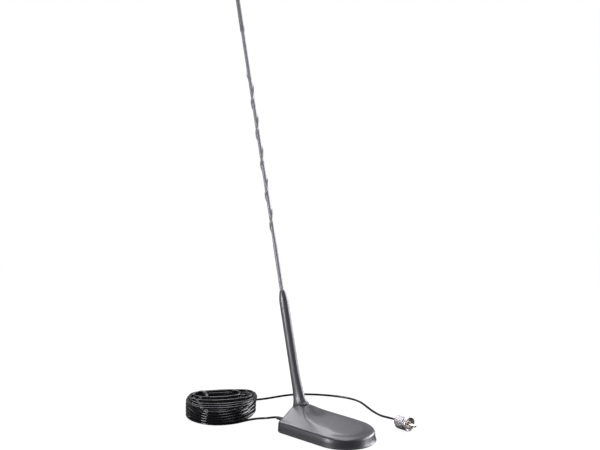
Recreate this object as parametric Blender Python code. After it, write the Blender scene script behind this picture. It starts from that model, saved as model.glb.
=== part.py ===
"""Magnetic mount antenna: a raked whip on a low moulded foot, with its cable and coaxial plug.

Frame: metres, +Z up, +X towards the foot's round nose. The origin is the centre of the magnet,
on the underside of the rubber pad that rests on the roof.
"""
import math

import bpy
import bmesh
from mathutils import Matrix, Vector
from mathutils.bvhtree import BVHTree

mm = 0.001

# Driving dimensions
clearance = 0.3 * mm

foot_width = 77.2 * mm
nose_x = 62.2 * mm
nose_lean = 1.6 * mm
nose_start_x = 21.0 * mm
tail_x = -67.0 * mm
tail_corner_x = -54.0 * mm
tail_corner_radius = 8.0 * mm
shoulder_height = 14.6 * mm
shoulder_inset = 4.6 * mm
shoulder_rise = 3.2 * mm
flank_slope = 0.40
flank_nose_slope = 0.56
wall_draft = 0.6 * mm
cover_wall = 2.2 * mm
top_height = 16.3 * mm
top_height_x = 34.0 * mm
top_slope = 0.065
seat_flare_rise = 8.5 * mm
seat_flare_reach = 9.0 * mm

pad_thickness = 0.8 * mm
pad_inset = 1.0 * mm
plate_thickness = 2.0 * mm

cup_side_room = 3.9 * mm
magnet_bore_radius = 12.0 * mm
magnet_height = 7.0 * mm
cup_wall = 2.2 * mm
cup_roof = 1.6 * mm

boss_radius = 3.6 * mm
screw_radius = 1.4 * mm
screw_head_radius = 2.9 * mm
screw_head_height = 1.5 * mm
screw_length = 7.5 * mm
front_boss_x = 38.0 * mm
front_boss_edge = 17.6 * mm
rear_boss_x = -45.0 * mm
rear_boss_edge = 11.6 * mm

whip_rake = math.radians(12.0)
whip_foot_x = -53.6 * mm
whip_foot_z = 27.0 * mm
seat_rear = 7.2 * mm
seat_side = 9.6 * mm
seat_front = 15.6 * mm
seat_thickness = 3.2 * mm
washer_thickness = 0.8 * mm

stud_radius = 2.5 * mm
stud_length = 9.0 * mm
stud_flange_radius = 4.6 * mm
stud_flange_height = 1.1 * mm
nut_width = 8.0 * mm
nut_height = 3.0 * mm
tag_thickness = 0.5 * mm
tag_radius = 4.3 * mm
tag_tail_width = 2.6 * mm
tag_reach = 9.5 * mm

boot_length = 145.0 * mm
boot_keel_height = 66.0 * mm
boot_keel = 4.2 * mm
boot_side_keel = 1.2 * mm
boot_foot_radius = 4.8 * mm
boot_top_radius = 4.2 * mm
boot_foot_step = 0.6 * mm
ferrule_radius = 4.0 * mm
ferrule_length = 16.0 * mm
ferrule_thread_depth = 10.5 * mm
rod_radius = 1.1 * mm
rod_cover = 9.0 * mm
sleeve_start = 121.0 * mm
sleeve_short = 4.0 * mm
sleeve_thick_radius = 2.4 * mm
sleeve_thin_radius = 2.05 * mm
sleeve_wall = 0.6 * mm
winding_start_share = 0.413
winding_end_share = 0.8265
winding_pitch = 38.6 * mm
winding_phase = math.radians(100.0)
winding_wire_radius = 0.4 * mm
cap_length = 42.0 * mm
cap_top = 513.0 * mm
cap_radius = 2.95 * mm
cap_tip_radius = 2.6 * mm

cable_radius = 1.4 * mm
relief_y = -12.5 * mm
relief_z = 6.9 * mm
relief_radius = 3.1 * mm
relief_end_radius = 2.1 * mm
relief_end_x = -80.5 * mm
relief_flange_radius = 4.2 * mm
relief_flange_width = 1.6 * mm

clamp_x = -55.0 * mm
clamp_width = 5.0 * mm
clamp_reach = 8.0 * mm
clamp_thickness = 1.0 * mm
clamp_screw_reach = 5.4 * mm
clamp_screw_radius = 1.0 * mm
strap_width = 5.0 * mm
strap_thickness = 0.5 * mm
strap_lap = 4.0 * mm

coil_centre = (-156.0 * mm, -38.5 * mm)
coil_outer_radius = 46.0 * mm
coil_inner_radius = 31.0 * mm
coil_height = 21.0 * mm
tie_angle = math.radians(178.0)
tie_width = 4.0 * mm
tie_thickness = 0.8 * mm

plug_lip = (60.5 * mm, 78.3 * mm)
plug_yaw = math.radians(-4.0)
ring_radius = 9.3 * mm
ring_length = 19.0 * mm
ring_lip_length = 3.6 * mm
ring_groove_width = 1.6 * mm
ring_groove_depth = 0.9 * mm
ring_mouth_radius = 8.3 * mm
ring_mouth_depth = 10.0 * mm
ring_web_radius = 6.3 * mm
ring_back_step = 1.5 * mm
ring_back_taper = 2.2 * mm
ring_knurl_count = 30
ring_knurl_depth = 0.45 * mm
barrel_radius = 5.8 * mm
barrel_bore_radius = 4.6 * mm
barrel_recess = 2.8 * mm
barrel_notch_count = 4
barrel_notch_width = 1.4 * mm
barrel_notch_depth = 1.6 * mm
barrel_flange_radius = 7.3 * mm
barrel_flange_width = 1.4 * mm
plug_tail_length = 2.6 * mm
plug_tail_radius = 5.2 * mm
pin_radius = 2.0 * mm
pin_reach = 10.6 * mm
pin_bore_radius = 1.0 * mm
clip_width = 0.9 * mm

# The loose cable's routes, in millimetres, chosen by eye along the roof
lead_route = ((-80.8, -12.5, 6.9), (-82.8, -12.5, 6.85), (-86.0, -12.7, 6.1), (-91.0, -12.8, 4.4),
              (-97.5, -13.3, 2.3), (-103.2, -15.2, 1.6), (-106.6, -19.5, 1.5), (-108.4, -26.0, 1.5),
              (-109.8, -35.0, 1.5))
tail_route = ((-194.4, -12.6, 1.5), (-179.0, 10.2, 1.5), (-163.0, 34.4, 1.5), (-156.4, 51.0, 1.5),
              (-151.7, 67.1, 1.5), (-146.5, 79.5, 1.5), (-137.0, 92.0, 1.5), (-123.0, 103.6, 1.5),
              (-106.8, 113.5, 1.5), (-88.5, 120.8, 1.5), (-72.0, 123.4, 1.5), (-57.0, 120.4, 1.6),
              (-42.0, 113.0, 1.8), (-27.5, 105.1, 2.3), (-11.0, 96.6, 3.2), (5.0, 89.0, 4.9),
              (15.5, 84.7, 6.8), (25.0, 81.7, 8.5), (31.5, 80.4, 9.2), (36.26, 80.0, 9.3))
inner_route = ((-80.2, -12.5, 6.9), (-71.0, -12.5, 6.9), (-62.0, -12.5, 6.9), (-50.0, -12.5, 6.9),
               (-46.6, -11.6, 8.0), (-45.0, -8.2, 11.6), (-44.6, -3.8, 16.5), (-43.6, -1.0, 21.4))

foot_half_width = foot_width / 2
cup_radius = foot_half_width - cover_wall - cup_side_room
magnet_radius = cup_radius - cup_wall - clearance
front_boss_xy = (front_boss_x, foot_half_width - front_boss_edge)
rear_boss_xy = (rear_boss_x, foot_half_width - rear_boss_edge)
coil_floor = tie_thickness + clearance + 0.1 * mm
pad_top = pad_thickness
plate_bottom = pad_top + clearance
plate_top = plate_bottom + plate_thickness
magnet_bottom = plate_bottom
cup_top = magnet_bottom + magnet_height + clearance + cup_roof
rake_turn = Matrix.Rotation(-whip_rake, 4, "Y")
seat_frame = Matrix.Translation((whip_foot_x, 0, whip_foot_z)) @ rake_turn
boot_start = clearance + washer_thickness + clearance
rod_top = cap_top - rod_cover
sleeve_top = rod_top - sleeve_short
cap_start = cap_top - cap_length
winding_start = winding_start_share * cap_top
winding_end = winding_end_share * cap_top
plug_turn = Matrix.Rotation(plug_yaw, 4, "Z") @ Matrix.Rotation(math.pi / 2, 4, "Y")
plug_frame = Matrix.Translation((*plug_lip, ring_radius)) @ plug_turn


# General helpers
def material(name, colour, roughness, metallic=0.0):
    found = bpy.data.materials.get(name)
    if found:
        return found
    made = bpy.data.materials.new(name)
    made.use_nodes = True
    shader = made.node_tree.nodes["Principled BSDF"]
    shader.inputs["Base Color"].default_value = (*colour, 1)
    shader.inputs["Roughness"].default_value = roughness
    shader.inputs["Metallic"].default_value = metallic
    return made


def add_object(name, bm, finish, parent=None, smooth_angle=35):
    """Closes a bmesh into a named object with its own material."""
    bmesh.ops.recalc_face_normals(bm, faces=bm.faces)
    if bm.calc_volume(signed=True) < 0:
        bmesh.ops.reverse_faces(bm, faces=bm.faces)
    mesh = bpy.data.meshes.new(name)
    bm.to_mesh(mesh)
    bm.free()
    mesh.shade_smooth()
    mesh.set_sharp_from_angle(angle=math.radians(smooth_angle))
    made = bpy.data.objects.new(name, mesh)
    made.data.materials.append(finish)
    bpy.context.scene.collection.objects.link(made)
    made.parent = parent
    return made


def add_axis(name, frame):
    """An empty on a joint's axis, its Z along that axis, which carries the pieces that turn."""
    axis = bpy.data.objects.new(name, None)
    axis.matrix_world = frame
    bpy.context.scene.collection.objects.link(axis)
    return axis


def turned(profile, steps, closed=True):
    """Spins a profile of (radius, height) points about Z; an open one starts and ends on the axis."""
    bm = bmesh.new()
    points = [bm.verts.new((radius, 0, height)) for radius, height in profile]
    edges = [bm.edges.new(pair) for pair in zip(points, points[1:])]
    if closed:
        edges.append(bm.edges.new((points[-1], points[0])))
    bmesh.ops.spin(bm, geom=points + edges, cent=(0, 0, 0), axis=(0, 0, 1), angle=math.tau,
                   steps=steps, use_merge=True)
    bmesh.ops.remove_doubles(bm, verts=bm.verts, dist=1e-7)
    return bm


def skinned(rings, closed=False):
    """Joins rings of equal length by quads; the first and last get caps, or join each other."""
    bm = bmesh.new()
    rows = [[bm.verts.new(point) for point in ring] for ring in rings]
    pairs = list(zip(rows, rows[1:]))
    if closed:
        pairs.append((rows[-1], rows[0]))
    else:
        bm.faces.new(rows[0])
        bm.faces.new(rows[-1])
    for low, high in pairs:
        for i in range(len(low)):
            j = (i + 1) % len(low)
            bm.faces.new((low[i], low[j], high[j], high[i]))
    return bm


def extruded(outline, bottom, height):
    """Extrudes a flat closed outline of (x, y) points upwards."""
    bm = bmesh.new()
    face = bm.faces.new([bm.verts.new((x, y, bottom)) for x, y in outline])
    raised = bmesh.ops.extrude_face_region(bm, geom=[face])
    verts = [item for item in raised["geom"] if isinstance(item, bmesh.types.BMVert)]
    bmesh.ops.translate(bm, verts=verts, vec=(0, 0, height))
    return bm


def circle(radius, count, centre=(0, 0)):
    steps = [math.tau * i / count for i in range(count)]
    return [(centre[0] + radius * math.cos(a), centre[1] + radius * math.sin(a)) for a in steps]


def cylinder(radius, bottom, top, count=20, centre=(0, 0)):
    return extruded(circle(radius, count, centre), bottom, top - bottom)


def cutter(name, bm):
    """A wire guide that only a Boolean reads."""
    made = add_object(name, bm, material("guide", (0.5, 0.5, 0.5), 0.5))
    made.hide_render = True
    made.display_type = "WIRE"
    return made


def combine(target, tool, operation):
    step = target.modifiers.new(tool.name, "BOOLEAN")
    step.operation = operation
    step.solver = "EXACT"
    step.object = tool


def smoothstep(value):
    value = min(max(value, 0.0), 1.0)
    return value * value * (3 - 2 * value)


# Plan and height of the foot
def half_outline(inset):
    """The near half of the foot's plan from the tail's middle to the nose tip, moved inwards."""
    side = foot_half_width - inset
    bulge = tail_corner_x - tail_x
    arc_radius = (foot_half_width ** 2 + bulge ** 2) / (2 * bulge)
    arc_centre = tail_x + arc_radius
    arc_radius -= inset
    fillet = max(tail_corner_radius - inset, 1.0 * mm)
    reach = arc_radius - fillet
    fillet_y = side - fillet
    fillet_x = arc_centre - math.sqrt(reach ** 2 - fillet_y ** 2)
    last_angle = math.asin(fillet_y / reach)

    points = []
    for i in range(7):
        angle = last_angle * i / 7
        points.append((arc_centre - arc_radius * math.cos(angle), -arc_radius * math.sin(angle)))
    for i in range(5):
        angle = last_angle + (math.pi / 2 - last_angle) * i / 4
        points.append((fillet_x - fillet * math.cos(angle), -fillet_y - fillet * math.sin(angle)))
    for i in range(1, 10):
        points.append((fillet_x + (nose_start_x - fillet_x) * i / 10, -side))
    nose = nose_x - inset - nose_start_x
    for i in range(13):
        angle = math.pi / 2 * (1 - i / 12)
        points.append((nose_start_x + nose * math.cos(angle), -side * math.sin(angle)))
    return points


def outline(inset):
    near = half_outline(inset)
    return near + [(x, -y) for x, y in reversed(near[1:-1])]


def seat_ring(scale, depth, inset=0.0):
    """A ring of the egg-shaped seat, one point for each point of the plan, in the whip's frame."""
    count = 2 * (len(half_outline(0.0)) - 1)
    points = []
    for i in range(count):
        angle = math.pi + math.tau * i / count
        length = (seat_front if math.cos(angle) > 0 else seat_rear) * scale - inset
        side = seat_side * scale - inset
        points.append(seat_frame @ Vector((length * math.cos(angle), side * math.sin(angle), depth)))
    return points


def round_seat_ring(radius, depth):
    count = 2 * (len(half_outline(0.0)) - 1)
    angles = [math.pi + math.tau * i / count for i in range(count)]
    return [seat_frame @ Vector((radius * math.cos(a), radius * math.sin(a), depth)) for a in angles]


def top_at(x):
    """Height of the flat top along the foot, flaring up to the seat."""
    seat_front_x = whip_foot_x + seat_front * math.cos(whip_rake)
    flare = seat_flare_rise * math.exp(-max(x - seat_front_x, -2 * mm) / seat_flare_reach)
    return top_height + top_slope * (top_height_x - x) + flare


def shoulder_at(x):
    return shoulder_height - 1.6 * mm * smoothstep((x - 5 * mm) / (50 * mm))


def leaned(x):
    """How far the wall's top leans back from its foot at the nose."""
    return nose_lean * smoothstep((x - nose_start_x) / (nose_x - nose_start_x))


def edge_distance(point, edge):
    """Distance in plan from a point to the foot's outline."""
    best = 1.0
    for (ax, ay), (bx, by) in zip(edge, edge[1:] + edge[:1]):
        along = ((point.x - ax) * (bx - ax) + (point.y - ay) * (by - ay)) / ((bx - ax) ** 2 + (by - ay) ** 2)
        along = min(max(along, 0.0), 1.0)
        best = min(best, math.hypot(point.x - ax - along * (bx - ax), point.y - ay - along * (by - ay)))
    return best


def soft_max(a, b, blend):
    return max(a, b) + 0.7 * blend * math.log(1 + math.exp(-abs(a - b) / blend))


def flank_rings(inset, drop, seat_points, steps):
    """Rings that rise from the shoulder to the seat, held under the flat top."""
    low = [Vector((x - leaned(x), y, shoulder_at(x))) for x, y in outline(inset)]
    edge = [(point.x, point.y) for point in low]
    blend = 0.9 * mm
    rings = []
    for step in steps:
        ring = []
        for start, end in zip(low, seat_points):
            point = start.lerp(end, step)
            fullness = 0.86 + 0.34 * smoothstep((start.x + 50 * mm) / (40 * mm))
            tent = start.z + (end.z + drop - start.z) * step ** fullness
            nose = smoothstep((point.x - 20 * mm) / (18 * mm))
            slope = flank_slope + (flank_nose_slope - flank_slope) * nose
            flank = start.z + slope * edge_distance(point, edge) - 0.4 * mm
            raised = soft_max(tent, flank, 0.5 * mm)
            lower = -soft_max(-raised, -top_at(point.x), blend)
            keep = min(max((1 - step) * 5, 0.0), 1.0) * min(step * 12, 1.0)
            point.z = tent + (lower - tent) * keep - drop
            ring.append(point)
        rings.append(ring)
    return rings


def wall_ring(inset, height_share, drop=0.0):
    """A ring on the wall or the rounded shoulder: share 0 is the wall's top, 1 the shoulder."""
    points = []
    for x, y in outline(inset):
        top = shoulder_at(x) - shoulder_rise
        points.append(Vector((x - leaned(x), y, top + shoulder_rise * height_share - drop)))
    return points


def build_cover():
    rim = plate_bottom
    steps = (0.0, 0.04, 0.09, 0.15, 0.22, 0.3, 0.4, 0.5, 0.61, 0.72, 0.82, 0.91)
    outer = [[Vector((x, y, rim)) for x, y in outline(0.0)],
             wall_ring(wall_draft, 0.0),
             wall_ring(wall_draft + 0.13 * shoulder_inset, 0.42),
             wall_ring(wall_draft + 0.38 * shoulder_inset, 0.78)]
    flank_inset = wall_draft + shoulder_inset - 1.0 * mm
    outer += flank_rings(flank_inset, 0.0, seat_ring(1.0, -0.4 * mm), steps)
    outer += [seat_ring(1.0, -0.4 * mm), seat_ring(1.0, 0.0, 0.4 * mm)]
    flange_room = stud_flange_radius + clearance
    flange_floor = -stud_flange_height - clearance
    hole = stud_radius + 0.9 * mm
    under = flange_floor - seat_thickness
    seat = [round_seat_ring(flange_room, 0.0), round_seat_ring(flange_room, flange_floor),
            round_seat_ring(hole, flange_floor), round_seat_ring(hole, under),
            seat_ring(1.0, under, cover_wall)]
    inner = flank_rings(flank_inset + cover_wall, cover_wall + 0.2 * mm,
                        seat_ring(1.0, under, cover_wall), (0.0, 0.1, 0.22, 0.38, 0.58, 0.8))
    inner.reverse()
    inner += [wall_ring(wall_draft + cover_wall, 0.0, 1.0 * mm),
              [Vector((x, y, plate_top + clearance)) for x, y in outline(cover_wall)],
              [Vector((x, y, rim)) for x, y in outline(cover_wall)]]
    return skinned(outer + seat + inner, closed=True)


def ceiling_at(bm, x, y):
    """Height of the cover's inner face over a point."""
    tree = BVHTree.FromBMesh(bm)
    return tree.ray_cast(Vector((x, y, plate_top)), Vector((0, 0, 1)))[0].z


def boss_places():
    places = []
    for x, y in (front_boss_xy, rear_boss_xy):
        places += [(x, y), (x, -y)]
    return places


def make_cover(finish):
    bm = build_cover()
    heights = [ceiling_at(bm, x, y) for x, y in boss_places()]
    middle = ceiling_at(bm, 0, 0)
    cover = add_object("base_cover", bm, finish)
    for i, (place, height) in enumerate(zip(boss_places(), heights)):
        post = cylinder(boss_radius, plate_top + clearance, height + cover_wall / 2, 16, place)
        combine(cover, cutter("boss_guide_%d" % i, post), "UNION")
        pilot = cylinder(screw_radius + clearance, plate_bottom, screw_tip() + clearance, 12, place)
        combine(cover, cutter("pilot_guide_%d" % i, pilot), "DIFFERENCE")
    post = cylinder(boss_radius, cup_top + clearance, middle + cover_wall / 2, 16)
    combine(cover, cutter("magnet_boss_guide", post), "UNION")
    pilot = cylinder(screw_radius + clearance, cup_top, middle, 12)
    combine(cover, cutter("magnet_pilot_guide", pilot), "DIFFERENCE")
    slot = cable_slot(relief_radius + clearance, tail_x - 5 * mm, tail_x + 12 * mm, plate_bottom)
    combine(cover, cutter("cable_slot_guide", slot), "DIFFERENCE")


def cable_slot(radius, start, end, bottom):
    """An arched slot along X, open below, which lets the cable's relief be laid in."""
    arch = [(relief_y + radius * math.cos(math.pi * i / 10), relief_z + radius * math.sin(math.pi * i / 10))
            for i in range(11)]
    section = arch + [(relief_y - radius, bottom - 5 * mm), (relief_y + radius, bottom - 5 * mm)]
    return skinned([[Vector((x, y, z)) for y, z in section] for x in (start, end)])


# Underside
def screw_tip():
    return plate_bottom + clearance + screw_length


def screw_at(x, y, bottom):
    """A countersunk screw, head down, with a plain shank."""
    top = bottom + screw_length
    bm = turned([(0, bottom), (screw_head_radius, bottom), (screw_head_radius, bottom + 0.3 * mm),
                 (screw_radius, bottom + screw_head_height), (screw_radius, top - 0.8 * mm), (0, top)],
                12, closed=False)
    bmesh.ops.translate(bm, verts=bm.verts, vec=(x, y, 0))
    return bm


def screw_room(x, y, bottom, top):
    """The countersunk hole that such a screw fits."""
    head = screw_head_radius + clearance
    shank = screw_radius + clearance
    profile = [(0, bottom - 1 * mm), (head, bottom - 1 * mm), (head, bottom + 0.6 * mm),
               (shank, bottom + screw_head_height + 0.3 * mm), (shank, top + 1 * mm), (0, top + 1 * mm)]
    bm = turned(profile, 12, closed=False)
    bmesh.ops.translate(bm, verts=bm.verts, vec=(x, y, 0))
    return bm


def make_underside(plastic, steel, ferrite, rubber, zinc):
    pad = extruded(outline(pad_inset), 0.0, pad_thickness)
    add_object("base_pad", pad, rubber)

    plate = extruded(outline(cover_wall + clearance), plate_bottom, plate_thickness)
    plate = add_object("base_plate", plate, plastic)
    rib_top = relief_z - cable_radius - clearance
    rib = bmesh.new()
    bmesh.ops.create_cube(rib, size=1.0)
    bmesh.ops.scale(rib, vec=(clamp_width, 1.6 * cable_radius, rib_top - plate_top + 1 * mm), verts=rib.verts)
    rib_middle = (clamp_x, relief_y, (rib_top + plate_top - 1 * mm) / 2)
    bmesh.ops.translate(rib, verts=rib.verts, vec=rib_middle)
    combine(plate, cutter("cable_rib_guide", rib), "UNION")
    cradle = cylinder(relief_flange_radius + clearance, tail_x - 5 * mm, relief_flange_front() + clearance, 20)
    bmesh.ops.transform(cradle, matrix=Matrix.Rotation(math.pi / 2, 4, "Y"), verts=cradle.verts)
    bmesh.ops.translate(cradle, verts=cradle.verts, vec=(0, relief_y, relief_z))
    combine(plate, cutter("relief_cradle_guide", cradle), "DIFFERENCE")
    opening = cylinder(cup_radius + clearance, 0.0, plate_top + 1 * mm, 48)
    combine(plate, cutter("cup_opening_guide", opening), "DIFFERENCE")
    for i, (x, y) in enumerate(boss_places()):
        hole = screw_room(x, y, plate_bottom, plate_top)
        combine(plate, cutter("plate_hole_guide_%d" % i, hole), "DIFFERENCE")
        add_object("base_screw_%d" % (i + 1), screw_at(x, y, plate_bottom + clearance), zinc)

    hole = screw_radius + clearance
    roof = cup_top - cup_roof
    add_object("magnet_cup", turned([
        (cup_radius - cup_wall, magnet_bottom), (cup_radius, magnet_bottom),
        (cup_radius, cup_top - 0.8 * mm), (cup_radius - 0.8 * mm, cup_top), (hole, cup_top),
        (hole, roof), (cup_radius - cup_wall, roof)], 48), steel)
    add_object("magnet_ring", turned([
        (magnet_bore_radius, magnet_bottom), (magnet_radius, magnet_bottom),
        (magnet_radius, magnet_bottom + magnet_height),
        (magnet_bore_radius, magnet_bottom + magnet_height)], 40), ferrite)
    head_top = roof - clearance
    tip = cup_top + clearance + 2.6 * mm
    add_object("magnet_screw", turned([
        (0, head_top - 2 * mm), (screw_head_radius, head_top - 2 * mm), (screw_head_radius, head_top),
        (screw_radius, head_top), (screw_radius, tip - 0.6 * mm), (0, tip)], 14, closed=False), zinc)


# Whip
def boot_ring(height, count=28):
    """A ring of the boot: round at its top, with a keel in front and a foot that spreads to the seat."""
    up = height - boot_start
    body = boot_foot_radius + (boot_top_radius - boot_foot_radius) * min(up / (boot_length - 12 * mm), 1.0)
    keel = 1 - smoothstep((up - 8 * mm) / (boot_keel_height - 8 * mm))
    spread = boot_foot_step + boot_foot_radius
    rear = body + (seat_rear - spread) * math.exp(-up / (9 * mm))
    side = body + boot_side_keel * keel + (seat_side - spread - boot_side_keel) * math.exp(-up / (6 * mm))
    front = body + boot_keel * keel + (seat_front - spread - boot_keel) * math.exp(-up / (5.5 * mm))
    shrink = dome(height, boot_length, 7 * mm, 0.62)
    points = []
    for i in range(count):
        angle = math.tau * i / count
        length = front if math.cos(angle) > 0 else rear
        points.append(Vector((length * math.cos(angle) * shrink, side * math.sin(angle) * shrink, height)))
    return points


def dome(height, top, reach, least):
    """Shrinks a ring towards least over the last reach below top, as a quarter round does."""
    share = min(max((height - (top - reach)) / reach, 0.0), 1.0)
    return least + (1 - least) * math.sqrt(1 - share * share)


def make_boot(finish, axis):
    heights = [boot_start + up * mm for up in (0, 0.8, 2, 3.6, 5.6, 8, 11, 15, 20, 26, 33, 41, 50)]
    keel_top = boot_start + boot_keel_height
    heights += [keel_top + (boot_length - 7 * mm - keel_top) * i / 3 for i in range(3)]
    heights += [boot_length - back * mm for back in (7, 5, 3.2, 1.6, 0.5, 0)]
    count = 28
    outer = [boot_ring(height, count) for height in heights]

    def bore(radius, height):
        return [Vector((x, y, height)) for x, y in circle(radius, count)]

    pocket = ferrule_radius + clearance
    pocket_top = boot_start + ferrule_length + clearance
    rod_room = rod_radius + clearance
    sleeve_room = sleeve_thick_radius + clearance
    sleeve_floor = sleeve_start - clearance
    inner = [bore(sleeve_room, boot_length), bore(sleeve_room, sleeve_floor), bore(rod_room, sleeve_floor),
             bore(rod_room, pocket_top), bore(pocket, pocket_top), bore(pocket, boot_start)]
    add_object("whip_boot", skinned(outer + inner, closed=True), finish, axis)


def ridge_section(height, offset):
    """The sleeve's section: a circle with a ridge over the wire, turned by the winding."""
    whole = smoothstep((height - winding_start) / (9 * mm)) * smoothstep((winding_end - height) / (9 * mm))
    narrow = smoothstep((height - (winding_start - 14 * mm)) / (14 * mm))
    base = sleeve_thick_radius + (sleeve_thin_radius - sleeve_thick_radius) * narrow - offset
    ridge = rod_radius + 2 * clearance + 2 * winding_wire_radius + sleeve_wall - offset
    wound = min(max(height, winding_start), winding_end) - winding_start
    spin = winding_phase + math.tau * wound / winding_pitch
    points = []
    for lean in (0, 15, 30, 46, 75, 110, 150, 210, 250, 285, 314, 330, 345):
        off = min(lean, 360 - lean)
        share = whole * smoothstep(1.25 - off / 40)
        radius = base + (ridge - base) * share
        angle = spin + math.radians(lean)
        points.append(Vector((radius * math.cos(angle), radius * math.sin(angle), height)))
    return points


def make_sleeve(finish, axis):
    turns = (winding_end - winding_start) / winding_pitch
    count = round(turns * 12)
    wound = [winding_start + (winding_end - winding_start) * i / count for i in range(count + 1)]
    heights = [sleeve_start, winding_start - 14 * mm, winding_start - 7 * mm] + wound + [sleeve_top]
    outer = [ridge_section(height, 0.0) for height in heights]
    inner = [ridge_section(height, sleeve_wall) for height in reversed(heights)]
    add_object("whip_sleeve", skinned(outer + inner, closed=True), finish, axis)


def make_winding(finish, axis):
    """The loading wire: an open helix round the rod, inside the sleeve's ridge."""
    start = winding_start + 12 * mm
    end = winding_end - 12 * mm
    radius = rod_radius + clearance + winding_wire_radius
    count = round((end - start) / winding_pitch * 12)
    climb = math.atan2(winding_pitch, math.tau * radius)
    rings = []
    for i in range(count + 1):
        height = start + (end - start) * i / count
        angle = winding_phase + math.tau * (height - winding_start) / winding_pitch
        out = Vector((math.cos(angle), math.sin(angle), 0))
        along = Vector((-math.sin(angle) * math.cos(climb), math.cos(angle) * math.cos(climb), math.sin(climb)))
        across = along.cross(out)
        centre = out * radius + Vector((0, 0, height))
        ring = []
        for k in range(6):
            turn = math.tau * k / 6
            offset = out * math.cos(turn) + across * math.sin(turn)
            ring.append(centre + offset * winding_wire_radius)
        rings.append(ring)
    add_object("whip_winding", skinned(rings), finish, axis)


def make_whip(grey, rubber, brass, steel, copper):
    axis = add_axis("whip_axis", seat_frame)
    count = 28
    washer = []
    for height in (clearance, clearance + washer_thickness):
        ring = []
        for i in range(count):
            angle = math.tau * i / count
            length = (seat_front if math.cos(angle) > 0 else seat_rear) - boot_foot_step
            side = seat_side - boot_foot_step
            ring.append(Vector((length * math.cos(angle), side * math.sin(angle), height)))
        washer.append(ring)
    hole = stud_flange_radius + clearance
    washer.append([Vector((x, y, clearance + washer_thickness)) for x, y in circle(hole, count)])
    washer.append([Vector((x, y, clearance)) for x, y in circle(hole, count)])
    add_object("seat_washer", skinned(washer, closed=True), rubber, axis)

    make_boot(grey, axis)
    ferrule_top = boot_start + ferrule_length
    thread = stud_radius + clearance
    thread_top = boot_start + ferrule_thread_depth
    rod_room = rod_radius + clearance
    rod_bottom = thread_top + 1.2 * mm
    add_object("whip_ferrule", turned([
        (thread, boot_start), (ferrule_radius, boot_start), (ferrule_radius, ferrule_top),
        (rod_room, ferrule_top), (rod_room, thread_top), (thread, thread_top)], 24), brass, axis)
    add_object("whip_rod", turned([
        (0, rod_bottom), (rod_radius, rod_bottom), (rod_radius, rod_top), (0, rod_top)],
        12, closed=False), steel, axis)
    make_winding(copper, axis)
    make_sleeve(grey, axis)
    room = sleeve_thin_radius + clearance
    top = cap_top
    cap_profile = [(0, rod_top + clearance), (room, rod_top + clearance), (room, cap_start),
                   (cap_radius - 0.1 * mm, cap_start), (cap_radius + 0.1 * mm, cap_start + 0.6 * mm),
                   (cap_radius - 0.1 * mm, cap_start + 2.2 * mm), (cap_tip_radius, top - 5 * mm)]
    cap_profile += [(cap_tip_radius * math.cos(a), top - 2.6 * mm + 2.6 * mm * math.sin(a))
                    for a in (math.radians(20), math.radians(45), math.radians(70))]
    add_object("tip_cap", turned(cap_profile + [(0, top)], 20, closed=False), grey, axis)


# Feed under the seat
def make_feed(brass, zinc, steel):
    axis = add_axis("stud_axis", seat_frame)
    flange_floor = -stud_flange_height
    under = flange_floor - clearance - seat_thickness
    tag_top = under - clearance
    nut_top = tag_top - tag_thickness - clearance
    stud_bottom = nut_top - nut_height - 1.5 * mm
    stud_top = boot_start + stud_length
    add_object("whip_stud", turned([
        (0, stud_bottom), (stud_radius - 0.4 * mm, stud_bottom), (stud_radius, stud_bottom + 0.5 * mm),
        (stud_radius, flange_floor), (stud_flange_radius, flange_floor), (stud_flange_radius, 0),
        (stud_radius, 0), (stud_radius, stud_top - 0.6 * mm), (stud_radius - 0.5 * mm, stud_top),
        (0, stud_top)], 20, closed=False), brass, axis)

    count = 12
    hole = circle(stud_radius + clearance, count)
    corner = nut_width / 2 / math.cos(math.pi / 6)
    hexagon = []
    for i in range(count):
        angle = math.tau * i / count
        radius = corner if i % 2 == 0 else nut_width / 2
        hexagon.append((radius * math.cos(angle), radius * math.sin(angle)))
    levels = (nut_top - nut_height, nut_top)
    rings = [[Vector((x, y, levels[0])) for x, y in hexagon], [Vector((x, y, levels[1])) for x, y in hexagon],
             [Vector((x, y, levels[1])) for x, y in hole], [Vector((x, y, levels[0])) for x, y in hole]]
    add_object("stud_nut", skinned(rings, closed=True), zinc, axis)

    count = 20
    hole = circle(stud_radius + clearance, count)
    rim = []
    for i in range(count):
        angle = math.tau * i / count
        rim.append((tag_radius * math.cos(angle), tag_radius * math.sin(angle)))
    rim[0] = (tag_reach, 0.0)
    rim[1] = (tag_reach, tag_tail_width / 2)
    rim[-1] = (tag_reach, -tag_tail_width / 2)
    rim[2] = (tag_radius, tag_tail_width / 2)
    rim[-2] = (tag_radius, -tag_tail_width / 2)
    low = tag_top - tag_thickness
    rings = [[Vector((x, y, low)) for x, y in rim], [Vector((x, y, tag_top)) for x, y in rim],
             [Vector((x, y, tag_top)) for x, y in hole], [Vector((x, y, low)) for x, y in hole]]
    add_object("feed_tag", skinned(rings, closed=True), steel, axis)


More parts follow.
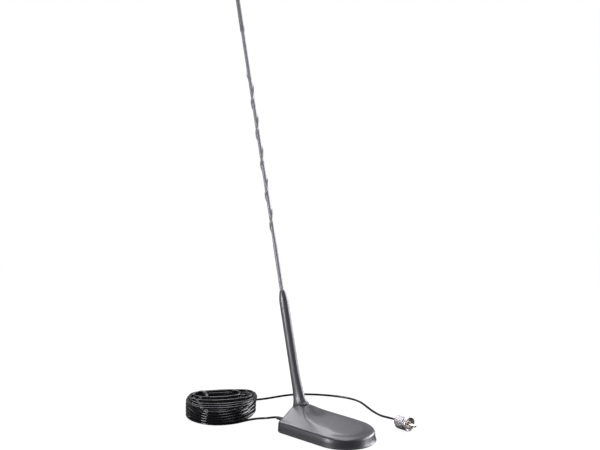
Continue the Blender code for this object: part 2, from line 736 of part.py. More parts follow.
# Free cable
def smooth_route(route, spacing):
    """Points a steady distance apart on a smooth curve through the chosen ones."""
    chosen = [Vector(point) * mm for point in route]
    ends = [chosen[0] * 2 - chosen[1]] + chosen + [chosen[-1] * 2 - chosen[-2]]
    fine = []
    for k in range(len(chosen) - 1):
        a, b, c, d = ends[k:k + 4]
        for i in range(24):
            t = i / 24
            fine.append(0.5 * ((2 * b) + (c - a) * t + (2 * a - 5 * b + 4 * c - d) * t ** 2
                               + (3 * b - a - 3 * c + d) * t ** 3))
    fine.append(chosen[-1])
    total = sum((q - p).length for p, q in zip(fine, fine[1:]))
    count = max(round(total / spacing), 2)
    points = [fine[0]]
    travelled = 0.0
    for p, q in zip(fine, fine[1:]):
        step = (q - p).length
        while travelled + step >= total * len(points) / count and len(points) < count:
            share = (total * len(points) / count - travelled) / step
            points.append(p.lerp(q, share))
        travelled += step
    points.append(fine[-1])
    return points


def tube(name, points, radius, finish):
    curve = bpy.data.curves.new(name, "CURVE")
    curve.dimensions = "3D"
    curve.bevel_depth = radius
    curve.bevel_resolution = 2
    curve.use_fill_caps = True
    line = curve.splines.new("POLY")
    line.points.add(len(points) - 1)
    for spot, point in zip(line.points, points):
        spot.co = (*point, 1)
    made = bpy.data.objects.new(name, curve)
    made.data.materials.append(finish)
    bpy.context.scene.collection.objects.link(made)


def make_cable(finish, rubber):
    tube("cord_lead", smooth_route(lead_route, 2.4 * 2 * cable_radius), cable_radius, finish)
    tube("cord_tail", smooth_route(tail_route, 2.4 * 2 * cable_radius), cable_radius, finish)
    tube("inner_coax", smooth_route(inner_route, 2.4 * 2 * cable_radius), cable_radius, finish)
    coil = turned(coil_section(), 48)
    bmesh.ops.translate(coil, verts=coil.verts, vec=(*coil_centre, 0))
    add_object("cord_coil", coil, finish)
    make_tie(rubber)


def coil_section():
    """The bundle's section, as (radius, height) points in order round it."""
    low = coil_floor
    high = coil_floor + coil_height
    inner = coil_inner_radius
    outer = coil_outer_radius
    return [(inner + 3 * mm, low), (outer - 2.5 * mm, low), (outer - 0.6 * mm, low + 2 * mm),
            (outer, low + 0.3 * coil_height), (outer - 1.5 * mm, low + 0.75 * coil_height),
            (outer - 4 * mm, high), (inner + 3 * mm, high), (inner + 0.6 * mm, high - 4 * mm),
            (inner, low + 0.5 * coil_height), (inner + 0.6 * mm, low + 4 * mm)]


def grown(section, distance):
    """Moves the sides of a convex section outwards."""
    points = []
    for i, (x, y) in enumerate(section):
        before = Vector((x - section[i - 1][0], y - section[i - 1][1])).normalized()
        after = section[(i + 1) % len(section)]
        after = Vector((after[0] - x, after[1] - y)).normalized()
        corner = Vector((before.y + after.y, -before.x - after.x)).normalized()
        reach = distance / corner.dot(Vector((before.y, -before.x)))
        points.append((x + corner.x * reach, y + corner.y * reach))
    return points


def make_tie(finish):
    """A flat tie, closed round the coil's section."""
    def band(distance, side):
        return [Vector((radius, side, height)) for radius, height in grown(coil_section(), distance)]

    half = tie_width / 2
    snug = clearance
    full = clearance + tie_thickness
    bm = skinned([band(snug, -half), band(full, -half), band(full, half), band(snug, half)], closed=True)
    place = Matrix.Translation((*coil_centre, 0)) @ Matrix.Rotation(tie_angle, 4, "Z")
    bmesh.ops.transform(bm, matrix=place, verts=bm.verts)
    add_object("coil_tie", bm, finish)


def relief_flange_front():
    """Front face of the relief's inner flange, which stands clear of the bowed, drafted wall."""
    return tail_wall_x(relief_y) + cover_wall + wall_draft + 1.3 * mm + relief_flange_width


def make_relief(rubber):
    """The tapered relief in the tail's slot, with a flange on each side of the wall."""
    front = relief_flange_front()
    inside = front - relief_flange_width
    outside = tail_wall_x(relief_y) - 1.0 * mm
    bore = cable_radius + clearance
    profile = [(bore, -front), (relief_flange_radius, -front), (relief_flange_radius, -inside),
               (relief_radius, -inside), (relief_radius, -outside),
               (relief_radius - 0.2 * mm, -outside + 3 * mm)]
    taper_start = -outside + 3 * mm
    for i in range(1, 4):
        at = taper_start + (-relief_end_x - taper_start) * i / 3
        profile.append((relief_radius - 0.2 * mm + (relief_end_radius - relief_radius + 0.2 * mm) * i / 3, at))
    profile.append((bore, -relief_end_x))
    bm = turned(profile, 16)
    bmesh.ops.transform(bm, matrix=Matrix.Rotation(-math.pi / 2, 4, "Y"), verts=bm.verts)
    bmesh.ops.translate(bm, verts=bm.verts, vec=(0, relief_y, relief_z))
    add_object("strain_relief", bm, rubber)


def tail_wall_x(y):
    """Where the tail's outer wall stands at a given Y."""
    bulge = tail_corner_x - tail_x
    radius = (foot_half_width ** 2 + bulge ** 2) / (2 * bulge)
    return tail_x + radius - math.sqrt(radius ** 2 - y ** 2)


def make_clamp(steel, zinc):
    """A saddle that holds the cable on the plate's rib, its two screws, and the earth strap."""
    foot_bottom = plate_top + clearance
    foot_top = foot_bottom + clamp_thickness
    inner = cable_radius + clearance
    outer = inner + clamp_thickness
    arch = [(-clamp_reach, foot_bottom), (-clamp_reach, foot_top), (-outer, foot_top)]
    arch += [(-outer * math.cos(math.pi * i / 8), relief_z + outer * math.sin(math.pi * i / 8)) for i in range(9)]
    arch += [(outer, foot_top), (clamp_reach, foot_top), (clamp_reach, foot_bottom), (inner, foot_bottom)]
    arch += [(inner * math.cos(math.pi * i / 8), relief_z + inner * math.sin(math.pi * i / 8)) for i in range(9)]
    arch += [(-inner, foot_bottom)]
    sides = (clamp_x - clamp_width / 2, clamp_x + clamp_width / 2)
    bm = skinned([[Vector((x, relief_y + y, z)) for y, z in arch] for x in sides])
    clamp = add_object("cable_clamp", bm, steel)
    places = [(clamp_x, relief_y + side * clamp_screw_reach) for side in (-1, 1)]
    head = foot_top + clearance
    for i, place in enumerate(places):
        hole = cylinder(clamp_screw_radius + clearance, 0, foot_top + 1 * mm, 12, place)
        guide = cutter("clamp_hole_guide_%d" % i, hole)
        combine(clamp, guide, "DIFFERENCE")
        combine(bpy.data.objects["base_plate"], guide, "DIFFERENCE")
        screw = turned([
            (0, plate_bottom + clearance), (clamp_screw_radius, plate_bottom + clearance),
            (clamp_screw_radius, head), (2 * clamp_screw_radius, head),
            (2 * clamp_screw_radius, head + 0.8 * mm), (1.4 * clamp_screw_radius, head + 1.3 * mm),
            (0, head + 1.3 * mm)], 12, closed=False)
        bmesh.ops.translate(screw, verts=screw.verts, vec=(*place, 0))
        add_object("clamp_screw_%d" % (i + 1), screw, zinc)

    start = clamp_x + clamp_width / 2 + clearance
    low = plate_top + clearance
    far = relief_y + clamp_reach
    near = far - strap_width
    wall = -math.sqrt(cup_radius ** 2 - far ** 2) - clearance
    high = cup_top + clearance
    end = -math.sqrt(cup_radius ** 2 - near ** 2) + strap_lap
    strip = strap_thickness
    path = [(start, low), (start, low + strip), (wall - strip, low + strip), (wall - strip, high + strip),
            (end, high + strip), (end, high), (wall, high), (wall, low)]
    bm = skinned([[Vector((x, y, z)) for x, z in path] for y in (near, far)])
    add_object("earth_strap", bm, steel)


# Plug
def make_plug(nickel, resin, brass, steel):
    axis = add_axis("plug_axis", plug_frame)
    lip = -barrel_recess
    flange_front = -ring_mouth_depth + clearance + barrel_flange_width
    tail = -ring_length - plug_tail_length
    neck = ring_web_radius - clearance
    wall_bore = cable_radius + 1.4 * mm
    insulator_back = -ring_mouth_depth - 1.0 * mm
    body = turned([
        (barrel_bore_radius, insulator_back), (barrel_bore_radius, lip), (barrel_radius, lip),
        (barrel_radius, flange_front), (barrel_flange_radius, flange_front),
        (barrel_flange_radius, flange_front - barrel_flange_width), (neck, flange_front - barrel_flange_width),
        (neck, -ring_length), (plug_tail_radius, -ring_length),
        (plug_tail_radius, tail + 0.4 * mm), (plug_tail_radius - 0.4 * mm, tail),
        (wall_bore, tail), (wall_bore, insulator_back)], 32)
    body = add_object("plug_body", body, nickel, axis)
    for i in range(barrel_notch_count // 2):
        notch = bmesh.new()
        bmesh.ops.create_cube(notch, size=1.0)
        size = (2.4 * barrel_radius, barrel_notch_width, 2 * barrel_notch_depth)
        bmesh.ops.scale(notch, vec=size, verts=notch.verts)
        turn = Matrix.Rotation(math.tau * (i + 0.5) / barrel_notch_count, 4, "Z")
        bmesh.ops.transform(notch, matrix=turn, verts=notch.verts)
        guide = cutter("notch_guide_%d" % i, notch)
        guide.parent = axis
        guide.location = (0, 0, lip)
        combine(body, guide, "DIFFERENCE")

    notch_floor = lip - barrel_notch_depth - 0.2 * mm
    pin_room = pin_radius + clearance
    add_object("plug_insulator", turned([
        (pin_room, insulator_back + clearance), (barrel_bore_radius - clearance, insulator_back + clearance),
        (barrel_bore_radius - clearance, notch_floor), (barrel_bore_radius - 1.0 * mm, lip - 0.3 * mm),
        (pin_room, lip - 0.3 * mm)], 24), resin, axis)
    pin_back = insulator_back - 3.0 * mm
    add_object("plug_pin", turned([
        (pin_bore_radius, pin_back), (pin_radius, pin_back), (pin_radius, pin_reach - 0.8 * mm),
        (pin_radius - 0.6 * mm, pin_reach), (pin_bore_radius, pin_reach)], 16), brass, axis)

    cable_room = cable_radius + clearance
    add_object("plug_reducer", turned([
        (cable_room, pin_back - 1.0 * mm - 2 * mm), (wall_bore - clearance, pin_back - 3.0 * mm),
        (wall_bore - clearance, tail - clearance), (wall_bore + 0.9 * mm, tail - clearance),
        (wall_bore + 0.9 * mm, tail - 1.6 * mm), (wall_bore - 0.3 * mm, tail - 2.4 * mm),
        (cable_room, tail - 2.4 * mm)], 20), nickel, axis)
    clip_front = -ring_length - clearance
    clip_inner = plug_tail_radius + clearance
    clip_outer = ring_web_radius + 0.6 * mm
    add_object("plug_clip", turned([
        (clip_inner, clip_front - clip_width), (clip_outer, clip_front - clip_width),
        (clip_outer, clip_front), (clip_inner, clip_front)], 24), steel, axis)
    make_ring(nickel, axis)


def make_ring(nickel, axis):
    """The coupling ring: a knurled grip, a groove, and a plain lip round a deep mouth."""
    count = 2 * ring_knurl_count

    def circle_ring(radius, height, knurl=0.0):
        points = []
        for i in range(count):
            angle = math.tau * i / count
            out = radius - (knurl if i % 2 else 0.0)
            points.append(Vector((out * math.cos(angle), out * math.sin(angle), height)))
        return points

    groove = ring_radius - ring_groove_depth
    grip_top = -ring_lip_length - ring_groove_width
    back = -ring_length
    rings = [circle_ring(ring_web_radius, back), circle_ring(ring_radius - ring_back_step, back),
             circle_ring(ring_radius, back + ring_back_taper, ring_knurl_depth),
             circle_ring(ring_radius, grip_top - 0.4 * mm, ring_knurl_depth),
             circle_ring(groove, grip_top), circle_ring(groove, -ring_lip_length),
             circle_ring(ring_radius, -ring_lip_length + 0.3 * mm), circle_ring(ring_radius, -0.7 * mm),
             circle_ring(ring_radius - 0.3 * mm, 0.0), circle_ring(ring_mouth_radius, 0.0),
             circle_ring(ring_mouth_radius, -ring_mouth_depth), circle_ring(ring_web_radius, -ring_mouth_depth)]
    add_object("plug_ring", skinned(rings, closed=True), nickel, axis)


def main():
    for found in list(bpy.data.objects):
        bpy.data.objects.remove(found)
    grey = material("grey_moulding", (0.09, 0.09, 0.1), 0.5)
    black = material("black_plastic", (0.03, 0.03, 0.03), 0.5)
    rubber = material("black_rubber", (0.02, 0.02, 0.02), 0.7)
    jacket = material("cable_jacket", (0.015, 0.015, 0.015), 0.35)
    steel = material("zinc_steel", (0.6, 0.6, 0.6), 0.35, 1.0)
    ferrite = material("ferrite", (0.06, 0.06, 0.065), 0.6)
    brass = material("brass", (0.7, 0.52, 0.25), 0.3, 1.0)
    copper = material("copper_wire", (0.72, 0.38, 0.22), 0.35, 1.0)
    nickel = material("nickel", (0.75, 0.73, 0.7), 0.2, 1.0)
    resin = material("insulator_resin", (0.3, 0.24, 0.17), 0.5)

    make_cover(grey)
    make_underside(black, steel, ferrite, rubber, steel)
    make_feed(brass, steel, steel)
    make_relief(rubber)
    make_clamp(steel, steel)
    make_whip(grey, rubber, brass, steel, copper)
    make_cable(jacket, rubber)
    make_plug(nickel, resin, brass, steel)


main()
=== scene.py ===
"""Looks of the magnetic mount antenna: its moulded skins, the coiled cable, the plug and the studio."""
import math

import bmesh
import bpy
from mathutils import Matrix, Vector


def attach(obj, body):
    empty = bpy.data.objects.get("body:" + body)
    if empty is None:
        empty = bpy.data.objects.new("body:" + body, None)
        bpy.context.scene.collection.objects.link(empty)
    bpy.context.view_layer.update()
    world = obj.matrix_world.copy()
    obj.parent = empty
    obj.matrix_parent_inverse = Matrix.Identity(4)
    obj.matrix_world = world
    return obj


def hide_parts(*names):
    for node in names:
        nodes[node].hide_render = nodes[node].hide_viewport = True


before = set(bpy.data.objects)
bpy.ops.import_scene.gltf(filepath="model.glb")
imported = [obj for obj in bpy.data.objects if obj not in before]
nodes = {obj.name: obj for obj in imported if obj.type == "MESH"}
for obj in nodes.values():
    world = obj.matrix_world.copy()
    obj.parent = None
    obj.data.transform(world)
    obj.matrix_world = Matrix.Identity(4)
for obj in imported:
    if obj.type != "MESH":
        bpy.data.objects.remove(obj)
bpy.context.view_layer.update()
scene = bpy.context.scene
scene.view_settings.view_transform = "Standard"
mm = 0.001
clearance = 0.3 * mm

# Sizes shared with the solids
foot_half_width = 38.6 * mm
nose_x = 62.2 * mm
nose_lean = 1.6 * mm
nose_start_x = 21.0 * mm
tail_x = -67.0 * mm
tail_bulge = 13.0 * mm
tail_corner_radius = 8.0 * mm
tail_arc_radius = (foot_half_width ** 2 + tail_bulge ** 2) / (2 * tail_bulge)
shoulder_height = 14.6 * mm
shoulder_inset = 4.6 * mm
shoulder_rise = 3.2 * mm
flank_slope = 0.40
flank_nose_slope = 0.56
wall_draft = 0.6 * mm
cover_wall = 2.2 * mm
top_height = 16.3 * mm
top_height_x = 34.0 * mm
top_slope = 0.065
seat_flare_rise = 8.5 * mm
seat_flare_reach = 9.0 * mm
rim_height = 1.1 * mm
plate_top = 3.1 * mm
pad_thickness = 0.8 * mm
pad_inset = 1.0 * mm

rake = math.radians(12.0)
foot_point = Vector((-53.6, 0, 27.0)) * mm
seat_rear = 7.2 * mm
seat_side = 9.6 * mm
seat_front = 15.6 * mm
seat_thickness = 3.2 * mm
stud_radius = 2.5 * mm
stud_hole_gap = 0.9 * mm
stud_bottom = -10.2 * mm
stud_top = 10.4 * mm
stud_core_radius = 2.1 * mm
stud_pitch = 0.8 * mm
stud_flange_radius = 4.6 * mm
stud_flange_height = 1.1 * mm

boot_start = 1.4 * mm
boot_length = 145.0 * mm
boot_foot_step = 0.6 * mm
skin_rear = 5.5 * mm
skin_side = 5.5 * mm
skin_front = 7.0 * mm
skin_keel = 2.4 * mm
skin_keel_start = 4.0 * mm
skin_keel_height = 44.0 * mm
skin_taper = 16.0 * mm
skin_rear_spread = 9.0 * mm
skin_side_spread = 6.0 * mm
skin_front_spread = 5.5 * mm
skin_top_shrink = 0.48
skin_top_curve = 1.9
ferrule_radius = 4.0 * mm
ferrule_length = 16.0 * mm
rod_radius = 1.1 * mm
rod_top = 504.0 * mm
sleeve_start = 121.0 * mm
sleeve_top = 500.0 * mm
sleeve_thick_radius = 2.4 * mm
sleeve_thin_radius = 2.05 * mm
sleeve_wall = 0.6 * mm
sleeve_fullness = 0.2 * mm
sleeve_narrowing = 14.0 * mm
ridge_fullness = 0.35 * mm
ridge_fade = 9.0 * mm
ridge_flatness = 1.25
ridge_spread = 40
winding_start = 0.413 * 513.0 * mm
winding_end = 0.8265 * 513.0 * mm
winding_pitch = 38.6 * mm
winding_phase = math.radians(100.0)
steps_per_winding = 40
ridge_radius = rod_radius + 2 * clearance + 0.8 * mm + sleeve_wall
cap_start = 471.0 * mm
cap_top = 513.0 * mm
cap_radius = 2.95 * mm
cap_tip_radius = 2.6 * mm
cap_tip_height = 2.6 * mm
cap_waist = 0.07 * mm

cable_radius = 1.4 * mm
relief_y = -12.5 * mm
relief_z = 6.9 * mm
relief_radius = 3.1 * mm
relief_end_radius = 2.1 * mm
relief_end_x = -80.5 * mm
relief_flange_radius = 4.2 * mm
relief_flange_width = 1.6 * mm
relief_ribs = 6
coil_centre = Vector((-156.0, -38.5, 0)) * mm
tie_angle = math.radians(178.0)
tie_reach = 38.9
tie_corners = ((-6.9, 0.85), (5.6, 0.85), (7.6, 3.0), (8.3, 8.0), (7.4, 15.5), (4.4, 21.2), (-3.0, 22.2),
               (-7.4, 20.6), (-9.4, 17.0), (-8.7, 9.0), (-8.2, 3.0))
tie_width = 4.0 * mm
tie_thickness = 0.8 * mm

plug_yaw = math.radians(-4.0)
ring_radius = 9.3 * mm
ring_length = 19.0 * mm
ring_lip_length = 3.6 * mm
ring_groove_width = 1.6 * mm
ring_groove_depth = 0.9 * mm
ring_mouth_radius = 8.3 * mm
ring_mouth_depth = 10.0 * mm
ring_web_radius = 6.3 * mm
ring_pitch = 1.06 * mm
ring_turns = 7
ring_back_step = 1.5 * mm
ring_back_taper = 2.2 * mm
knurl_count = 30
knurl_depth = 0.45 * mm
tooth_sharpness = 1.4
barrel_radius = 5.8 * mm
barrel_bore_radius = 4.6 * mm
barrel_lip = -2.8 * mm
barrel_flange_radius = 7.3 * mm
barrel_flange_width = 1.4 * mm
notch_width = 1.4 * mm
notch_depth = 1.6 * mm
plug_tail_length = 2.6 * mm
plug_tail_radius = 5.2 * mm
pin_radius = 2.0 * mm
pin_reach = 10.6 * mm
pin_bore_radius = 1.0 * mm

whip_frame = Matrix.Translation(foot_point) @ Matrix.Rotation(-rake, 4, "Y")
plug_turn = Matrix.Rotation(plug_yaw, 4, "Z") @ Matrix.Rotation(math.pi / 2, 4, "Y")
plug_frame = Matrix.Translation(Vector((60.5, 78.3, 9.3)) * mm) @ plug_turn


def in_scene(name, data):
    made = bpy.data.objects.new(name, data)
    scene.collection.objects.link(made)
    return made


# Camera, at the photograph's angle
camera_place = (1.0161, -1.1065, 0.5268)
camera_pitch = math.radians(80)
camera_yaw = math.radians(44)
camera_lens = 76.8
camera_sensor = 36


def place_camera():
    lens = bpy.data.cameras.new("camera")
    lens.lens = camera_lens
    lens.sensor_width = camera_sensor
    lens.clip_start = 0.05
    camera = in_scene("camera", lens)
    camera.location = camera_place
    camera.rotation_euler = (camera_pitch, 0, camera_yaw)
    scene.camera = camera


# Cable, with its route in millimetres
lead_route = ((-80.5, -12.5, 6.9), (-82.8, -12.5, 6.85), (-86.0, -12.7, 6.1), (-91.0, -12.8, 4.4),
              (-97.5, -13.3, 2.3), (-103.2, -15.2, 1.6), (-107.4, -20.0, 1.5), (-110.4, -28.0, 1.5),
              (-112.6, -36.0, 1.5), (-113.4, -45.0, 1.5), (-115.0, -53.0, 1.5), (-118.6, -60.6, 1.5))
tail_route = ((-194.4, -12.6, 1.5), (-179.0, 10.2, 1.5), (-163.0, 34.4, 1.5), (-156.4, 51.0, 1.5),
              (-151.7, 67.1, 1.5), (-146.5, 79.5, 1.5), (-137.0, 92.0, 1.5), (-123.0, 103.6, 1.5),
              (-106.8, 113.5, 1.5), (-88.5, 120.8, 1.5), (-72.0, 123.4, 1.5), (-57.0, 120.4, 1.6),
              (-42.0, 113.0, 1.8), (-27.5, 105.1, 2.3), (-11.0, 96.6, 3.2), (5.0, 89.0, 4.9),
              (15.5, 84.7, 6.8), (25.0, 81.7, 8.5), (31.5, 80.4, 9.2), (36.56, 79.97, 9.3))

# Turns of the coil, clockwise from the right end, in millimetres: reach of the front, of the right
# end and of the left end, how far back those ends lie, reach of the back, then the heights of the
# right end, the front, the left end and the back. A short or negative front crosses over the middle
coil_turns = (
    (45.0, 43.4, 45.0, 0, 45.0, 1.5, 1.5, 1.5, 1.5),
    (42.0, 40.6, 42.2, 0, 42.0, 2.6, 2.4, 2.6, 1.5),
    (42.0, 40.6, 42.2, 0, 40.4, 5.4, 5.3, 5.4, 4.3),
    (45.0, 43.6, 45.0, 0, 43.4, 6.6, 4.4, 6.2, 4.4),
    (42.2, 40.8, 42.2, 1, 41.8, 8.8, 8.3, 8.6, 7.1),
    (45.0, 43.8, 45.2, 2, 44.8, 11.2, 7.3, 10.6, 7.6),
    (42.2, 41.2, 42.4, 4, 41.0, 12.9, 11.3, 12.7, 10.0),
    (45.0, 44.0, 45.2, 5, 44.0, 15.4, 10.3, 14.7, 10.6),
    (42.0, 41.4, 42.4, 8, 38.8, 16.6, 14.4, 16.6, 12.8),
    (44.6, 44.2, 45.0, 9, 42.2, 19.0, 13.4, 18.2, 13.6),
    (43.8, 43.8, 44.0, 12, 40.6, 20.4, 16.5, 19.8, 16.4),
    (41.0, 42.4, 42.4, 13, 37.8, 18.0, 18.1, 18.2, 14.6),
    (38.0, 44.8, 43.4, 15, 44.4, 18.8, 20.2, 19.2, 16.2),
    (29.8, 41.8, 43.6, 17, 38.0, 19.4, 20.3, 19.0, 16.6),
    (21.5, 43.2, 41.4, 19, 39.6, 20.0, 20.5, 20.2, 19.4),
    (6.0, 40.4, 42.4, 21, 40.4, 20.5, 20.4, 20.4, 19.6),
    (-8.0, 41.6, 40.6, 25, 42.6, 20.6, 20.4, 20.8, 19.6))
coil_skew = 0.007
outer_share = 0.88
end_flattening = 0.22
deepest_corner = 20
steps_per_turn = 48
first_step = 12

# The last turn's way down to the floor at the back: bearing in degrees, reach and height
way_down = ((-173, 46.6, 18.2), (-184, 47.0, 13.0), (-198, 46.6, 5.8))
cord_step = 2.2 * mm
cord_lowest = 1.45 * mm
curve_steps = 6
cord_passes = 14
held_points = 3
bend_radius = 12.0 * mm
last_bend_radius = 11.8 * mm


def coil_point(turn, following, share):
    """A point of one turn, in millimetres; share runs from its right end, round the front and back."""
    front, right, left, corner, back, z_right, z_front, z_left, z_back = turn
    if share >= 0.75:
        right, z_right = following[1], following[5]
    if share >= 0.5:
        corner += (following[3] - corner) * smoothstep(2 * share - 1)
    right_half = share < 0.25 or share >= 0.75
    angle = math.tau * share
    outer_front = share < 0.5 and front >= outer_share * left
    fullness = 1 if outer_front else 1 - end_flattening * min(corner / deepest_corner, 1)
    swing = abs(math.sin(angle)) ** fullness
    across = math.copysign(abs(math.cos(angle)) ** fullness, math.cos(angle))
    across *= right if right_half else left
    if share >= 0.5:
        deep = corner + (back - corner) * swing
    elif outer_front:
        deep = -front * swing + corner * abs(math.cos(angle)) ** 2.2
    else:
        deep = corner - (corner + front) * swing
    deep += coil_skew * corner * across
    middle_height = z_front if share < 0.5 else z_back
    end_height = z_right if right_half else z_left
    height = end_height + (middle_height - end_height) * math.sin(angle) ** 2
    x = across * math.cos(camera_yaw) - deep * math.sin(camera_yaw)
    y = across * math.sin(camera_yaw) + deep * math.cos(camera_yaw)
    return coil_centre + Vector((x, y, height)) * mm


def through(points):
    """A smooth curve through points, with the same number of steps between each two."""
    ends = [points[0] * 2 - points[1]] + points + [points[-1] * 2 - points[-2]]
    line = []
    for k in range(len(points) - 1):
        a, b, c, d = ends[k:k + 4]
        for i in range(curve_steps):
            t = i / curve_steps
            line.append(0.5 * ((2 * b) + (c - a) * t + (2 * a - 5 * b + 4 * c - d) * t ** 2
                               + (3 * b - a - 3 * c + d) * t ** 3))
    line.append(points[-1])
    return line


def evenly(line, spacing):
    """The same line with its points a steady distance apart."""
    total = sum((q - p).length for p, q in zip(line, line[1:]))
    count = round(total / spacing)
    kept = [line[0]]
    travelled = 0.0
    for p, q in zip(line, line[1:]):
        step = (q - p).length
        while len(kept) < count and travelled + step >= total * len(kept) / count:
            kept.append(p.lerp(q, (total * len(kept) / count - travelled) / step))
        travelled += step
    kept.append(line[-1])
    return kept


def eased(line, places):
    """A line with some of its points moved towards the middle of their neighbours."""
    moved = list(line)
    for i in places:
        moved[i] = line[i] * 0.5 + (line[i - 1] + line[i + 1]) * 0.25
    return moved


def relaxed(line, passes):
    """Eases the bends of a line, but for its held ends."""
    for _ in range(passes):
        line = eased(line, range(held_points, len(line) - held_points))
    return line


def unkinked(line, least_radius, passes):
    """Eases a line further, only where it bends more tightly than a least radius."""
    for _ in range(passes):
        bent = set()
        for i in range(1, len(line) - 1):
            step, following = line[i] - line[i - 1], line[i + 1] - line[i]
            if step.angle(following) * least_radius > (step.length + following.length) / 2:
                bent.update(range(max(i - 5, held_points), min(i + 6, len(line) - held_points)))
        if not bent:
            break
        line = eased(line, bent)
    return line


def make_cord():
    """The cable in one piece: the lead out of the foot, the coil's turns, and the run to the plug."""
    turns = []
    for turn, following in zip(coil_turns, coil_turns[1:] + coil_turns[-1:]):
        for k in range(steps_per_turn):
            turns.append(coil_point(turn, following, k / steps_per_turn))
    last_step = len(turns) - steps_per_turn // 2 + 1
    turns = turns[first_step:last_step]
    for bearing, reach, height in way_down:
        turns.append(coil_centre + around(reach, math.radians(bearing), height) * mm)
    lead, tail = (through([Vector(point) * mm for point in route]) for route in (lead_route, tail_route))
    line = unkinked(relaxed(evenly(lead + turns + tail, cord_step), cord_passes), bend_radius, 400)
    for point in line:
        point.z = max(point.z, cord_lowest)
    line = unkinked(evenly(line, cord_step), last_bend_radius, 200)

    curve = bpy.data.curves.new("cord", "CURVE")
    curve.dimensions = "3D"
    curve.bevel_depth = cable_radius
    curve.bevel_resolution = 4
    curve.use_fill_caps = True
    spline = curve.splines.new("POLY")
    spline.points.add(len(line) - 1)
    for spot, point in zip(spline.points, line):
        spot.co = (*point, 1)
    curve.materials.append(finishes["cable_jacket"])
    cord = in_scene("cord", curve)
    length = sum((q - p).length for p, q in zip(line, line[1:]))
    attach(cord, "base")
    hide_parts("cord_lead", "cord_tail", "cord_coil")
    return cord, length


# Mesh helpers
weld_distance = 1e-7


def smoothstep(value):
    value = min(max(value, 0.0), 1.0)
    return value * value * (3 - 2 * value)


def around(radius, angle, height):
    return Vector((radius * math.cos(angle), radius * math.sin(angle), height))


def circle_points(radius, height, count=72, start=0.0):
    return [around(radius, start + math.tau * i / count, height) for i in range(count)]


def turned(profile, steps, closed=True):
    """Spins (radius, height) points about Z into a closed form; an open profile ends on the axis."""
    bm = bmesh.new()
    points = [bm.verts.new((radius, 0, height)) for radius, height in profile]
    edges = [bm.edges.new(pair) for pair in zip(points, points[1:])]
    if closed:
        edges.append(bm.edges.new((points[-1], points[0])))
    bmesh.ops.spin(bm, geom=points + edges, cent=(0, 0, 0), axis=(0, 0, 1), angle=math.tau,
                   steps=steps, use_merge=True)
    bmesh.ops.remove_doubles(bm, verts=bm.verts, dist=weld_distance)
    return bm


def drawn_out(rings, closed=False):
    """Extrudes the first ring of edges through the others; the ends are capped, or join each other."""
    bm = bmesh.new()
    order = bm.verts.layers.int.new("order")
    verts = [bm.verts.new(point) for point in rings[0]]
    for place, vert in enumerate(verts):
        vert[order] = place
    edges = [bm.edges.new(pair) for pair in zip(verts, verts[1:] + verts[:1])]
    first = list(edges)
    for ring in rings[1:]:
        grown = bmesh.ops.extrude_edge_only(bm, edges=edges)["geom"]
        for item in grown:
            if isinstance(item, bmesh.types.BMVert):
                item.co = ring[item[order]]
        edges = [item for item in grown if isinstance(item, bmesh.types.BMEdge)]
        edges = [edge for edge in edges if len(edge.link_faces) == 1]
    if closed:
        bmesh.ops.bridge_loops(bm, edges=first + edges)
    else:
        bmesh.ops.edgeloop_fill(bm, edges=first)
        bmesh.ops.edgeloop_fill(bm, edges=edges)
    bm.verts.layers.int.remove(order)
    return bm


def as_mesh(name, bm, finish=None, smooth_angle=35):
    """Turns the faces outwards and makes the form an object."""
    bmesh.ops.recalc_face_normals(bm, faces=bm.faces)
    if bm.calc_volume(signed=True) < 0:
        bmesh.ops.reverse_faces(bm, faces=bm.faces)
    mesh = bpy.data.meshes.new(name)
    bm.to_mesh(mesh)
    bm.free()
    mesh.shade_smooth()
    mesh.set_sharp_from_angle(angle=math.radians(smooth_angle))
    if finish:
        mesh.materials.append(finishes[finish])
    return in_scene(name, mesh)


def piece(name, bm, finish, body, *replaced, place=None, smooth_angle=35):
    """A finished piece of the antenna, riding on a body, in the place of the solids it stands for."""
    if place is not None:
        bmesh.ops.transform(bm, matrix=place, verts=bm.verts)
    made = as_mesh(name, bm, finish, smooth_angle)
    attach(made, body)
    if replaced:
        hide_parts(*replaced)
    return made


def carved(bm, *tools):
    """Takes closed tools out of a closed form."""
    body = as_mesh("carving_blank", bm)
    guides = []
    for tool in tools:
        guide = as_mesh("carving_tool", tool)
        step = body.modifiers.new("carve", "BOOLEAN")
        step.operation = "DIFFERENCE"
        step.solver = "EXACT"
        step.object = guide
        guides.append(guide)
    result = bmesh.new()
    result.from_object(body, bpy.context.evaluated_depsgraph_get())
    for used in [body] + guides:
        bpy.data.objects.remove(used)
    bmesh.ops.remove_doubles(result, verts=result.verts, dist=weld_distance)
    return result


def wound_ridge(root, crest, low, half, pitch, turns, steps):
    """The ridge of a thread: a triangle wound about Z, its root sunk in the surface that it stands on."""
    bm = bmesh.new()
    start = bm.faces.new([bm.verts.new((radius, 0, height)) for radius, height in
                          ((root, low - half), (crest, low), (root, low + half))])
    bmesh.ops.spin(bm, geom=[start], cent=(0, 0, 0), axis=(0, 0, 1), dvec=(0, 0, pitch * turns / steps),
                   angle=math.tau * turns, steps=steps, use_duplicate=False)
    return bm


def block(size, middle):
    bm = bmesh.new()
    bmesh.ops.create_cube(bm, size=1.0)
    bmesh.ops.scale(bm, vec=size, verts=bm.verts)
    bmesh.ops.translate(bm, vec=middle, verts=bm.verts)
    return bm


